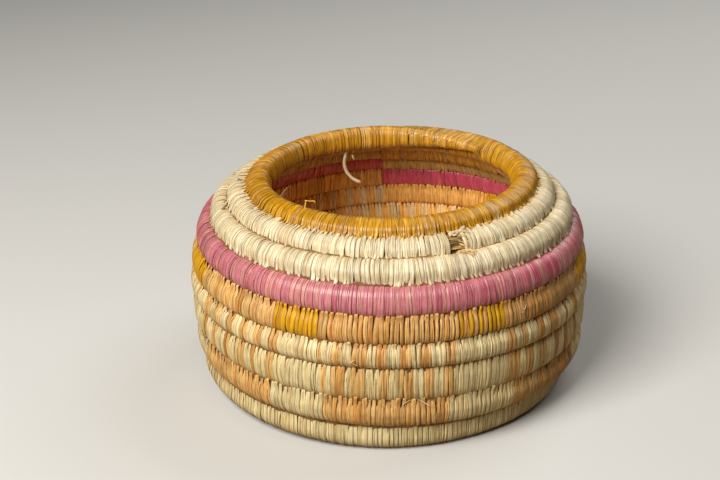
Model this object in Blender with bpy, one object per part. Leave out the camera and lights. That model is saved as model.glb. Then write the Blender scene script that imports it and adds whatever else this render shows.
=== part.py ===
"""Coiled and sewn basket with an open mouth, modelled for Blender 4.5 in metres, +Z up.

One long bundle of grass is coiled from the middle of the base to the rim. Strips of raffia
wrap it, and each stitch also catches the turn below. The wrapping changes colour along the
coil, so each stretch of one colour is its own sleeve, with the grass running through its bore.

The coil climbs clockwise, seen from above. The front of the basket faces -Y, and an angle
round the basket is measured from there, growing towards +X.
"""

import math
from dataclasses import dataclass

import bmesh
import bpy
from mathutils import Vector

MM = 0.001

# Clearances
CLEARANCE = 0.3 * MM  # between neighbours that touch
TURN_GAP = 0.5 * MM  # between one turn of the coil and the next

# The strips and the grass
WRAP_THICKNESS = 0.9 * MM  # strips and the turns of thread under them
STRAND_DIAMETER = 1.6 * MM  # a rolled end of raffia

# The flat base
KNOT_RADIUS = 3.0 * MM  # the knot in the middle that the coil starts from
KNOT_HEIGHT = 9.0 * MM
KNOT_EDGE = 1.5 * MM  # its rounded edge, above and below
START_SHARE = 0.35  # section at the very start, of the full one that it has a turn later
BASE_COIL_WIDTH = 12.1 * MM  # across one turn, along the base
BASE_THICKNESS = 14.4 * MM

# The wall
FOOT_RADIUS = 88.0 * MM  # centre line of the first turn of the wall, at the front
WALL_THICKNESS = 14.4 * MM
RIM_THICKNESS = 11.8 * MM

# Colour, roughness
CREAM = ((0.78, 0.69, 0.47), 0.5)
PEACH = ((0.78, 0.52, 0.27), 0.5)
OCHRE = ((0.68, 0.38, 0.04), 0.45)
MAGENTA = ((0.62, 0.24, 0.30), 0.35)
GRASS = ((0.50, 0.36, 0.18), 0.8)


@dataclass(frozen=True)
class Course:
    """One turn of the wall, from the middle of the back round the front to the back again."""

    name: str
    height: float  # along the wall
    thickness: float  # across the wall
    lean: float  # direction from the turn below, in degrees from upright, outward positive


@dataclass(frozen=True)
class LooseEnd:
    """An end of raffia or grass that leaves the coil as an arc and bends away.

    Directions are in parts: along the course towards growing angles, outward, and up.
    """

    name: str
    course: int
    angle: float  # round the basket, degrees
    side: float  # where on the section it leaves, in degrees from upright, outward positive
    bare: bool  # whether it leaves the bare grass, not the wrapping
    heading: tuple
    bend: tuple  # what it bends towards
    length: float
    sweep: float  # how far round it bends, degrees
    finish: tuple


COURSES = (
    Course("foot", 14.4 * MM, WALL_THICKNESS, 90.0),
    Course("block", 13.0 * MM, WALL_THICKNESS, 15.0),
    Course("lower_check", 17.4 * MM, WALL_THICKNESS, 3.0),
    Course("upper_check", 10.8 * MM, WALL_THICKNESS, 4.0),
    Course("peach", 12.4 * MM, WALL_THICKNESS, -6.0),
    Course("magenta", 13.6 * MM, WALL_THICKNESS, -9.0),
    Course("shoulder", 11.0 * MM, WALL_THICKNESS, -32.5),
    Course("neck", 9.9 * MM, 13.6 * MM, -53.0),
    Course("rim", 11.0 * MM, RIM_THICKNESS, -49.0),
    Course("rim_end", 11.0 * MM, RIM_THICKNESS, -85.0),
)
RIM_END_ANGLE = 52.0  # how far past the middle of the back the coil runs before it ends, degrees
RIM_END_SHARE = 0.3  # section at the very end, of the full one
RIM = len(COURSES) - 2
NECK = RIM - 1
COIL_TURNS_END = RIM + 0.5  # t where the coil comes round to the back for the last time

# The repeated motif: an ochre block in the peach course over a cream one in the block course
MOTIF_ANGLES = (133.5, 72.5, 24.5, -28.0, -74.5, -127.5)  # middles, degrees, in the coil's order
BLOCK_ANGLE = 16.0  # along the course, degrees

# The splice in the neck course
SPLICE_ANGLE = 22.2  # where the wrapping is interrupted, degrees
SPLICE_LENGTH = 6.0 * MM  # bare grass between the two lengths of wrapping

# The loose ends: one hangs inside the mouth, two stand up from the splice
LOOSE_ENDS = (
    LooseEnd("loose_strand", RIM, -160, -155, False, (0.1, -0.15, -1), (-1, 0, 0), 19 * MM, 60, CREAM),
    LooseEnd("splice_strip_end", NECK, 23, -5, True, (0.6, 0.2, 1), (1, 0, 0), 6.5 * MM, 30, CREAM),
    LooseEnd("splice_grass_end", NECK, 23, 66, True, (0.8, 1, 0.1), (0, 0, -1), 5 * MM, 35, GRASS),
)

# How finely the coil is faceted, and where its faces meet sharply
FACET_ANGLE = 16.1  # the most between two sections, degrees
INNER_TURN_RADIUS = 28.0 * MM  # inside it, on the base, every second section is left out
OUTER_SIDES = 10
BORE_SIDES = 6
STRAND_POINTS = 8
SHARP_ANGLE = 50.0  # degrees


def between(values, t):
    """Value at t, on straight lines between whole numbers of t."""
    i = min(max(math.floor(t), 0), len(values) - 2)
    share = min(max(t - i, 0.0), 1.0)
    return values[i] + (values[i + 1] - values[i]) * share


class Coil:
    """The route of the coil: t is 0 at the front of the foot course and grows by 1 a turn."""

    def __init__(self):
        self.leans = [c.lean for c in COURSES]
        self.heights = [c.height for c in COURSES]
        self.thicknesses = [c.thickness for c in COURSES]
        foot_half = COURSES[0].thickness / 2
        self.pitch = BASE_COIL_WIDTH + TURN_GAP
        self.last_base_radius = FOOT_RADIUS - foot_half - BASE_COIL_WIDTH / 2 - TURN_GAP
        self.inside = KNOT_RADIUS + CLEARANCE  # inner side of the coil where it starts
        self.start_step = BASE_COIL_WIDTH * START_SHARE + TURN_GAP  # the coil's own start, passed
        first_full = self.inside + self.start_step + BASE_COIL_WIDTH / 2
        self.start = -2 - (self.last_base_radius - first_full) / self.pitch
        self.end = COIL_TURNS_END + RIM_END_ANGLE / 360
        self.centres = {}

    def lean(self, t):
        """Direction of the turn at t from the turn below it, in radians from upright."""
        return math.radians(between(self.leans, t))

    def frame(self, t):
        """Direction of the section's height, in radians from upright, outward positive."""
        if t <= 0:
            return math.radians(90)
        above = (self.lean(max(t, 1)) + self.lean(max(t, 1) + 1)) / 2
        return math.radians(90) + (above - math.radians(90)) * min(t, 1)

    def half_sizes(self, t):
        """Half the section's height and half its thickness."""
        base_share = min(max(-t, 0.0), 1.0)
        height = between(self.heights, t)
        thickness = between(self.thicknesses, t)
        height += (BASE_COIL_WIDTH - height) * base_share
        thickness += (BASE_THICKNESS - thickness) * base_share
        share = self.taper(t)
        return height / 2 * share, thickness / 2 * share

    def taper(self, t):
        """Share of its full size that the section has at t, under 1 at the coil's two ends."""
        opened = min(max(t - self.start, 0.0), 1.0)
        closed = min(max((t - COIL_TURNS_END) * 360 / RIM_END_ANGLE, 0.0), 1.0)
        return (START_SHARE + (1 - START_SHARE) * opened) * (1 - (1 - RIM_END_SHARE) * closed)

    def outline(self, t, sides, wrap, clearance):
        """Section at t round its own centre, as pairs of outward and upward distance."""
        half_height, half_thickness = self.half_sizes(t)
        inset = wrap * self.taper(t) + clearance
        flat = math.cos(math.pi / sides) if sides == OUTER_SIDES else 1.0
        turn = self.frame(t)
        points = []
        for i in range(sides):
            angle = 2 * math.pi * i / sides
            along = (half_height - inset) * math.cos(angle)
            across = (half_thickness - inset) / flat * math.sin(angle)
            points.append(
                (
                    along * math.sin(turn) + across * math.cos(turn),
                    along * math.cos(turn) - across * math.sin(turn),
                )
            )
        return points

    def reach(self, t, direction):
        """How far the outer section at t reaches from its centre in a direction."""
        out, up = math.sin(direction), math.cos(direction)
        return max(x * out + z * up for x, z in self.outline(t, OUTER_SIDES, 0, 0))

    def centre(self, t):
        """Distance from the axis and height of the section's centre at t."""
        key = round(t, 6)
        if key not in self.centres:
            if t <= -1:
                passed = t - self.start
                if passed < 1:
                    radius = self.inside + self.half_sizes(t)[0] + self.start_step * passed
                else:
                    radius = self.last_base_radius + self.pitch * (t + 1)
                self.centres[key] = (radius, self.reach(t, math.radians(180)))
            else:
                radius, height = self.centre(t - 1)
                lean = self.lean(t)
                step = self.reach(t - 1, lean) + self.reach(t, lean + math.pi) + TURN_GAP
                self.centres[key] = (radius + step * math.sin(lean), height + step * math.cos(lean))
        return self.centres[key]

    def ring(self, t, sides, wrap=0.0, clearance=0.0):
        """Points of the section at t, in place, inside the wrapping and a clearance if given."""
        radius, height = self.centre(t)
        angle = -2 * math.pi * t
        side, front = math.sin(angle), -math.cos(angle)
        return [
            Vector(((radius + x) * side, (radius + x) * front, height + z))
            for x, z in self.outline(t, sides, wrap, clearance)
        ]

    def edge(self, t, side, bare):
        """How far the wrapping or the bare grass lies from the section's centre, along a ray."""
        if bare:
            points = self.outline(t, BORE_SIDES, WRAP_THICKNESS, CLEARANCE)
        else:
            points = self.outline(t, OUTER_SIDES, 0, 0)
        nearest = math.inf
        for (x, z), (next_x, next_z) in zip(points, points[1:] + points[:1]):
            across = (next_x - x) * math.cos(side) - (next_z - z) * math.sin(side)
            crossing = ((next_x - x) * z - (next_z - z) * x) / across if across else math.inf
            if crossing > 0:
                nearest = min(nearest, crossing)
        return nearest

    def end_points(self, end):
        """Points of a loose end's arc, from just clear of the surface."""
        t = self.turn_at(end.course, end.angle)
        angle, side = math.radians(end.angle), math.radians(end.side)
        along = Vector((math.cos(angle), math.sin(angle), 0))
        out = Vector((math.sin(angle), -math.cos(angle), 0))
        up = Vector((0, 0, 1))
        heading = sum((axis * part for axis, part in zip((along, out, up), end.heading)), Vector())
        bend = sum((axis * part for axis, part in zip((along, out, up), end.bend)), Vector())
        heading.normalize()
        bend = (bend - bend.project(heading)).normalized()
        away = out * math.sin(side) + up * math.cos(side)
        clear = CLEARANCE + STRAND_DIAMETER / 2 * heading.cross(away).length
        radius, height = self.centre(t)
        root = out * radius + up * height + away * (self.edge(t, side, end.bare) + clear)
        arc_radius = end.length / math.radians(end.sweep)
        turns = [math.radians(end.sweep) * i / (STRAND_POINTS - 1) for i in range(STRAND_POINTS)]
        return [root + (heading * math.sin(a) + bend * (1 - math.cos(a))) * arc_radius for a in turns]

    def section_angles(self):
        """Angles round the basket at which sections are drawn, each with whether small turns have it."""
        half = BLOCK_ANGLE / 2
        edges = [180.0] + [middle + side for middle in MOTIF_ANGLES for side in (half, -half)] + [-180.0]
        angles = []
        for start, end in zip(edges, edges[1:]):
            facets = math.ceil((start - end) / FACET_ANGLE)
            angles += [start + (end - start) * i / facets for i in range(facets)]
        return [(angle, number % 2 == 0) for number, angle in enumerate(angles)]

    def splice_angles(self):
        """Angles at the two ends of the bare grass in the neck course."""
        radius = self.centre(self.turn_at(NECK, SPLICE_ANGLE))[0]
        half = math.degrees(SPLICE_LENGTH / 2 / radius)
        return SPLICE_ANGLE + half, SPLICE_ANGLE - half

    def stations(self, first, last):
        """Values of t from first to last at which a section is drawn, in line from turn to turn."""
        least = CLEARANCE / (2 * math.pi * FOOT_RADIUS) / 4
        found = {first, last}
        for angle, on_small_turns in self.section_angles():
            offset = (-angle / 360) % 1
            for turn in range(math.floor(first) - 1, math.ceil(last) + 1):
                t = turn + offset
                if on_small_turns or self.centre(t)[0] > INNER_TURN_RADIUS:
                    found.add(t)
        for angle in self.splice_angles():
            found.update(self.turn_at(course, angle) for course in (NECK - 1, NECK, RIM))
        found.update((self.end, self.end - 1))
        inside = sorted(t for t in found if first + least < t < last - least)
        kept = [t for t, after in zip(inside, inside[1:] + [last]) if after - t > least]
        return [first] + kept + [last]

    def turn_at(self, course, angle):
        """The t of a course at an angle round the basket, in degrees."""
        return course - angle / 360


def material(name, finish):
    """Principled material of one colour and roughness."""
    colour, roughness = finish
    made = bpy.data.materials.get(name) or bpy.data.materials.new(name)
    made.use_nodes = True
    shader = made.node_tree.nodes["Principled BSDF"]
    shader.inputs["Base Color"].default_value = (*colour, 1)
    shader.inputs["Roughness"].default_value = roughness
    shader.inputs["Metallic"].default_value = 0.0
    return made


def add_object(name, mesh, finish, collection):
    """Object of a mesh, with its own material, in the basket's collection."""
    made = bpy.data.objects.new(name, mesh)
    mesh.materials.append(material(name + "_finish", finish))
    mesh.shade_smooth()
    mesh.set_sharp_from_angle(angle=math.radians(SHARP_ANGLE))
    collection.objects.link(made)
    return made


def loft(bm, rings):
    """Skin over rings of as many points each; returns the first and last ring's vertices."""
    rows = [[bm.verts.new(point) for point in ring] for ring in rings]
    for lower, upper in zip(rows, rows[1:]):
        for i in range(len(lower)):
            j = (i + 1) % len(lower)
            bm.faces.new((lower[i], lower[j], upper[j], upper[i]))
    return rows[0], rows[-1]


def close_end(bm, outer, bore):
    """Flat ring of faces between the outer and the bore's vertices at one end."""
    i = j = 0
    while i < len(outer) or j < len(bore):
        here, inside = outer[i % len(outer)], bore[j % len(bore)]
        if (i + 1) / len(outer) <= (j + 1) / len(bore):
            i += 1
            bm.faces.new((here, outer[i % len(outer)], inside))
        else:
            j += 1
            bm.faces.new((here, bore[j % len(bore)], inside))


def finish_mesh(bm, name):
    """Mesh of a closed skin, faces pointing out."""
    bmesh.ops.recalc_face_normals(bm, faces=bm.faces)
    mesh = bpy.data.meshes.new(name)
    bm.to_mesh(mesh)
    bm.free()
    return mesh


def sleeve(coil, name, first, last, finish, collection):
    """Wrapping round the grass from first to last: a tube with a bore, open at both ends."""
    bm = bmesh.new()
    stations = coil.stations(first, last)
    outer = loft(bm, [coil.ring(t, OUTER_SIDES) for t in stations])
    bore = loft(bm, [coil.ring(t, BORE_SIDES, WRAP_THICKNESS) for t in stations])
    for outer_end, bore_end in zip(outer, bore):
        close_end(bm, outer_end, bore_end)
    return add_object(name, finish_mesh(bm, name), finish, collection)


def grass_core(coil, collection):
    """The bundle of grass, one unbroken tube from the knot to the rim's end."""
    bm = bmesh.new()
    stations = coil.stations(coil.start, coil.end)
    ends = loft(bm, [coil.ring(t, BORE_SIDES, WRAP_THICKNESS, CLEARANCE) for t in stations])
    for end in ends:
        bm.faces.new(end)
    return add_object("grass_core", finish_mesh(bm, "grass_core"), GRASS, collection)


def least_gap(coil):
    """Least gap of the grass to the next turn of itself, on the points of its sections."""
    least = math.inf
    for t in coil.stations(coil.start, coil.end - 1):
        turn = coil.ring(t, BORE_SIDES, WRAP_THICKNESS, CLEARANCE)
        above = coil.ring(t + 1, BORE_SIDES, WRAP_THICKNESS, CLEARANCE)
        least = min(least, min((a - b).length for a in turn for b in above))
    return least


def start_knot(coil, collection):
    """Knot in the middle of the base, filling the coil's first turn up to the coil's own start."""
    last = coil.start + 1 - CLEARANCE / (2 * math.pi * KNOT_RADIUS)
    stations = coil.stations(coil.start, last)
    outline = [(t, KNOT_RADIUS + coil.start_step * (t - coil.start)) for t in stations]
    outline.append((last, KNOT_RADIUS))
    low, high = KNOT_EDGE, KNOT_HEIGHT - KNOT_EDGE
    rings = []
    for inset, height in ((KNOT_EDGE, 0), (0, low), (0, high), (KNOT_EDGE, KNOT_HEIGHT)):
        ring = []
        for t, radius in outline:
            angle = -2 * math.pi * t
            reach = radius - inset
            ring.append(Vector((reach * math.sin(angle), -reach * math.cos(angle), height)))
        rings.append(ring)
    bm = bmesh.new()
    for end in loft(bm, rings):
        bm.faces.new(end)
    return add_object("start_knot", finish_mesh(bm, "start_knot"), CREAM, collection)


def strand(name, points, finish, collection):
    """Loose end of raffia or grass: a tube along points, with filled caps."""
    curve = bpy.data.curves.new(name, "CURVE")
    curve.dimensions = "3D"
    curve.bevel_depth = STRAND_DIAMETER / 2
    curve.bevel_resolution = 1
    curve.use_fill_caps = True
    spline = curve.splines.new("POLY")
    spline.points.add(len(points) - 1)
    for target, point in zip(spline.points, points):
        target.co = (*point, 1)
    made = bpy.data.objects.new(name, curve)
    curve.materials.append(material(name + "_finish", finish))
    collection.objects.link(made)
    return made


def colour_blocks(coil, course, block_name, block_finish, plain_finish, collection):
    """Sleeves of a course whose wrapping changes colour at each repeat of the motif."""
    half = BLOCK_ANGLE / 2
    gap = CLEARANCE / (2 * math.pi * FOOT_RADIUS)
    name = COURSES[course].name
    start = course - 0.5 + gap / 2
    for number, middle in enumerate(MOTIF_ANGLES, start=1):
        block_start = coil.turn_at(course, middle + half)
        block_end = coil.turn_at(course, middle - half)
        plain = f"{name}_wrap_{number}"
        sleeve(coil, plain, start, block_start - gap / 2, plain_finish, collection)
        block = f"{block_name}_{number}"
        sleeve(coil, block, block_start + gap / 2, block_end - gap / 2, block_finish, collection)
        start = block_end + gap / 2
    last = f"{name}_wrap_{len(MOTIF_ANGLES) + 1}"
    sleeve(coil, last, start, course + 0.5 - gap / 2, plain_finish, collection)


def main():
    """Builds the basket."""
    for old in list(bpy.data.objects):
        bpy.data.objects.remove(old, do_unlink=True)
    collection = bpy.data.collections.new("coiled_basket")
    bpy.context.scene.collection.children.link(collection)

    coil = Coil()
    gap = CLEARANCE / (2 * math.pi * FOOT_RADIUS)
    grass_core(coil, collection)
    start_knot(coil, collection)
    sleeve(coil, "base_wrap", coil.start, -0.5 - gap / 2, CREAM, collection)
    plain_courses = {
        "foot": CREAM,
        "lower_check": CREAM,
        "upper_check": PEACH,
        "magenta": MAGENTA,
        "shoulder": CREAM,
        "rim": OCHRE,
    }
    for number, course in enumerate(COURSES[:-1]):
        first, last = number - 0.5 + gap / 2, number + 0.5 - gap / 2
        if course.name in plain_courses:
            finish = plain_courses[course.name]
            sleeve(coil, f"{course.name}_wrap", first, last, finish, collection)
        elif course.name == "block":
            colour_blocks(coil, number, "cream_block", CREAM, PEACH, collection)
        elif course.name == "peach":
            colour_blocks(coil, number, "ochre_block", OCHRE, PEACH, collection)
        else:
            right, left = (coil.turn_at(number, angle) for angle in coil.splice_angles())
            sleeve(coil, "neck_wrap_right", first, right, CREAM, collection)
            sleeve(coil, "neck_wrap_left", left, last, CREAM, collection)
    sleeve(coil, "rim_end_wrap", COIL_TURNS_END + gap / 2, coil.end, OCHRE, collection)
    for end in LOOSE_ENDS:
        strand(end.name, coil.end_points(end), end.finish, collection)
    print(f"least gap of the grass coil to itself: {least_gap(coil) / MM:.2f} mm")


main()
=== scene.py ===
"""Looks of the coiled and sewn basket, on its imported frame.

One bundle of grass is coiled from the middle of the base to the rim. Every stitch is a strip of
raffia sewn round it: a closed, crowned ribbon that goes down between the stitches of the turn
below and up over the seam above as a narrow tooth. The strips are laid along the same route as
the solids, from the same sizes, so each set of them stands where its sleeve is.
"""

import logging
import math
from dataclasses import dataclass, field, fields, replace
from enum import Enum
from typing import Optional, Sequence, Union

import bpy
import numpy as np
from mathutils import Matrix, Vector


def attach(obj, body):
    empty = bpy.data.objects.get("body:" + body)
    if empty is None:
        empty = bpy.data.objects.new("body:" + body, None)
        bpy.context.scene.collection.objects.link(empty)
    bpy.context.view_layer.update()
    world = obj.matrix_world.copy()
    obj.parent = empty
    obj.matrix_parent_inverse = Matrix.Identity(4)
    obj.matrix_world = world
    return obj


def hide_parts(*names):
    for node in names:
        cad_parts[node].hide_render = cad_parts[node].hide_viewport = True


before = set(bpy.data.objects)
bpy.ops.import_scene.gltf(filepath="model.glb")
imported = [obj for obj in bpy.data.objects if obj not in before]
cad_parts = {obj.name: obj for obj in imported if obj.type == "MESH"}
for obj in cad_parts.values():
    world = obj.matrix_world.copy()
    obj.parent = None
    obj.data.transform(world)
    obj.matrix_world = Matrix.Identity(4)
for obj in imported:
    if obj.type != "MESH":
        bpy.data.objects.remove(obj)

LOG = logging.getLogger("basket")
MM = 0.001
TURN = 2 * math.pi

# Sizes of the coil, as the solids have them
CLEARANCE = 0.3 * MM
TURN_GAP = 0.5 * MM
KNOT_RADIUS = 3.0 * MM
START_SHARE = 0.35
BASE_COIL_WIDTH = 12.1 * MM
BASE_THICKNESS = 14.4 * MM
FOOT_RADIUS = 88.0 * MM
RIM_END_ANGLE = 52.0
RIM_END_SHARE = 0.3
MOTIF_ANGLES = (133.5, 72.5, 24.5, -28.0, -74.5, -127.5)
BLOCK_ANGLE = 16.0
SPLICE_ANGLE = 22.2
SPLICE_LENGTH = 6.0 * MM

# How finely the route is worked out, and how full the section of a turn is
STEPS = 360
FULLNESS = 2.8


@dataclass(frozen=True)
class Course:
    """One turn of the wall: its size along and across the wall and its lean from the turn below."""

    name: str
    height: float
    thickness: float
    lean: float


COURSES = (
    Course("foot", 14.4 * MM, 14.4 * MM, 90.0),
    Course("block", 13.0 * MM, 14.4 * MM, 15.0),
    Course("lower_check", 17.4 * MM, 14.4 * MM, 3.0),
    Course("upper_check", 10.8 * MM, 14.4 * MM, 4.0),
    Course("peach", 12.4 * MM, 14.4 * MM, -6.0),
    Course("magenta", 13.6 * MM, 14.4 * MM, -9.0),
    Course("shoulder", 11.0 * MM, 14.4 * MM, -32.5),
    Course("neck", 9.9 * MM, 13.6 * MM, -53.0),
    Course("rim", 11.0 * MM, 11.8 * MM, -49.0),
    Course("rim_end", 11.0 * MM, 11.8 * MM, -85.0),
)
NUMBERS = {course.name: number for number, course in enumerate(COURSES)}
RIM = NUMBERS["rim"]
NECK = NUMBERS["neck"]
COIL_TURNS_END = RIM + 0.5


class Dye(Enum):
    """Colours of the raffia: the faded outside, another that strips drift to, how far, the inside."""

    # The inside colours are the unfaded dye, with painted light in them: made brighter for the light that
    # falls into the basket, and more saturated for the coloured bounce light inside it.
    CREAM = ((0.80, 0.695, 0.40), (0.66, 0.47, 0.19), 0.5, (0.82, 0.62, 0.32))
    PALE = ((0.81, 0.74, 0.54), (0.68, 0.52, 0.26), 0.5, (0.68, 0.46, 0.18))
    PEACH = ((0.76, 0.49, 0.185), (0.64, 0.32, 0.075), 0.9, (0.93, 0.51, 0.13))
    GOLD = ((0.69, 0.40, 0.010), (0.60, 0.30, 0.02), 0.7, (0.66, 0.32, 0.01))
    OCHRE = ((0.60, 0.325, 0.007), (0.46, 0.21, 0.006), 0.8, (0.68, 0.35, 0.003))
    MAGENTA = ((0.585, 0.21, 0.25), (0.63, 0.33, 0.28), 0.8, (0.66, 0.09, 0.17))


# Colours of strips that took more or less dye than their neighbours, and of painted light and painted shade
DEEP_MAGENTA = (0.50, 0.07, 0.14)
PALE_OCHRE = (0.66, 0.47, 0.20)
BROWN_OCHRE = (0.62, 0.36, 0.14)
# Painted light and sheen on the rim's back
LIT_BACK_OCHRE = (0.82, 0.50, 0.10)
# Painted shade on the peach strips at the right
SHADED_PEACH = (0.35, 0.20, 0.095)


@dataclass(frozen=True)
class Sewing:
    """How the strips of a stretch of the coil are sewn.

    Attributes:
        pitch: metres from one stitch to the next.
        fill: width of a stitch, as a share of the space it has.
        drift: how much the width follows the crowding of the stitches.
        uneven: how much widths differ at random.
        tooth: how far the upper end reaches over the turn above.
        foot: how far the lower end reaches over the turn below.
        odd_feet: share of the stitches whose foot reaches over all the same.
        crown: height of a strip's crown, in metres.
        squareness: how flat the crown is on top.
        lap: how much higher one edge lies than the other, in metres.
        split: shares of the stitches that are split in two and in three.
        end_width: width of the ends that reach over, as a share of the pitch.
        tip_shift: how far the upper end leans, as a share of the pitch.
        slope: how much the strips lean at random, as a share of the pitch.
        bright: how much their brightness differs.
    """

    pitch: float = 2.35 * MM
    fill: float = 1.0
    drift: float = 0.12
    uneven: float = 0.1
    tooth: float = 1.0
    foot: float = 0.0
    odd_feet: float = 0.0
    crown: float = 0.27 * MM
    squareness: float = 3.0
    lap: float = 0.05 * MM
    split: tuple[float, float] = (0.35, 0.15)
    end_width: float = 1.18
    tip_shift: float = 0.2
    slope: float = 0.08
    bright: float = 0.07


SEWING = {
    "base": Sewing(pitch=2.6 * MM, tooth=0.5, split=(0.0, 0.0)),
    "foot": Sewing(fill=1.22, drift=0.0, tooth=0.5, crown=0.09 * MM, squareness=3.2, lap=0.1 * MM),
    "block": Sewing(fill=1.08, drift=0.12, tooth=0.82),
    "lower_check": Sewing(fill=1.09, drift=0.06, tooth=0.82),
    "upper_check": Sewing(fill=1.08, drift=0.12, tooth=0.82),
    "peach": Sewing(fill=1.08, drift=0.28, crown=0.3 * MM, squareness=2.7),
    "magenta": Sewing(
        pitch=2.4 * MM, fill=1.12, drift=0.03, tooth=0.2, odd_feet=0.12, crown=0.16 * MM, squareness=4.0,
        lap=0.09 * MM, split=(0.45, 0.25), end_width=1.2, bright=0.06,
    ),
    "shoulder": Sewing(
        pitch=2.3 * MM, fill=1.07, drift=0.06, tooth=0.2, foot=0.62, crown=0.23 * MM, squareness=3.2,
        lap=0.07 * MM, split=(0.4, 0.2), tip_shift=0.1, end_width=1.0,
    ),
    "neck": Sewing(
        pitch=2.3 * MM, fill=1.05, drift=0.08, tooth=0.8, foot=0.6, crown=0.25 * MM, squareness=3.0,
        lap=0.07 * MM, split=(0.4, 0.2), end_width=1.0,
    ),
    "rim": Sewing(
        pitch=1.9 * MM, fill=1.08, drift=0.05, foot=0.8, crown=0.2 * MM, squareness=3.0, lap=0.09 * MM,
        split=(0.45, 0.25), end_width=0.75, slope=0.14, bright=0.1,
    ),
    "rim_end": Sewing(
        pitch=1.9 * MM, fill=1.14, drift=0.03, crown=0.13 * MM, squareness=3.4, lap=0.09 * MM,
        split=(0.4, 0.1), slope=0.14, bright=0.1,
    ),
}  # fmt: skip

# Colours of the grass under each course's strips, where it shows between them
BACKING = (
    (0.60, 0.42, 0.18), (0.54, 0.27, 0.08), (0.56, 0.33, 0.12), (0.56, 0.28, 0.08), (0.50, 0.21, 0.07),
    (0.44, 0.10, 0.09), (0.46, 0.27, 0.10), (0.46, 0.27, 0.10), (0.46, 0.22, 0.02), (0.46, 0.22, 0.02),
)  # fmt: skip
BARE_GRASS = (0.42, 0.27, 0.10)

# Angles round the basket where the two check courses change colour, from cream at the first
LOWER_CHECK = (
    -136.0, -119.0, -83.0, -68.7, -64.9, -61.6, -58.4, -55.1, -51.6, -48.4, -45.6, -43.1, -40.8, -37.7,
    -35.0, -20.5, -18.9, -17.2, -14.2, -11.7, -8.0, -5.0, -1.9, 1.0, 4.4, 7.4, 10.0, 12.8, 15.4, 32.0,
    35.5, 38.1, 41.1, 43.9, 46.6, 50.1, 54.0, 56.5, 59.3, 62.4, 65.0, 80.5, 125.0, 142.0,
)  # fmt: skip
UPPER_CHECK = (
    -136.0, -119.0, -83.0, -64.7, -60.9, -58.2, -54.9, -52.1, -49.1, -46.5, -43.4, -41.0, -37.8, -35.7,
    -32.6, -21.1, -19.2, -17.0, -14.0, -11.3, -7.1, -4.8, -1.9, 1.2, 4.3, 6.8, 9.8, 13.0, 16.5, 31.4,
    33.9, 36.8, 39.0, 42.0, 44.6, 47.5, 51.3, 55.4, 57.3, 60.6, 64.0, 80.5, 125.0, 142.0,
)  # fmt: skip
CREAM_BLOCKS = (-135.5, -119.5, -82.5, -67.8, -36.7, -20.5, 14.3, 34.3, 64.5, 80.5, 125.5, 141.5)
OCHRE_BLOCKS = (-135.5, -119.5, -82.5, -66.3, -33.9, -21.1, 18.0, 31.4, 65.6, 80.5, 125.5, 140.0)
PALE_RIM = (-128.0, -170.0, 43.0, 163.0, 151.0)  # where strips of the rim took little dye, degrees
CHECK_WIDTH = 3.1  # one stripe of a check where its edges aren't listed, degrees
WIDEST_STRIPE = 22.0  # a longer stretch between two edges holds stripes that aren't listed, degrees


def degrees_round(t: np.ndarray) -> np.ndarray:
    """Degrees round the basket from the front towards +X, -180 to 180, at places along the coil."""
    return -((t - np.floor(t + 0.5)) * 360)


def round_basket(radius: np.ndarray, height: np.ndarray, angle: np.ndarray) -> np.ndarray:
    """Points at distances from the axis, heights, and angles in radians from the front towards +X."""
    return np.stack((radius * np.sin(angle), -radius * np.cos(angle), height), axis=-1)


def bell(offset: np.ndarray, width: float) -> np.ndarray:
    """Bell curve of the distance from its middle, where it is 1, and of its width."""
    return np.exp(-((offset / width) ** 2))


def blend(first: Sequence[float], second: Sequence[float], share: float) -> tuple[float, ...]:
    """A colour on the way from one to another, at a share of the way."""
    return tuple(a + (b - a) * share for a, b in zip(first, second))


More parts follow.
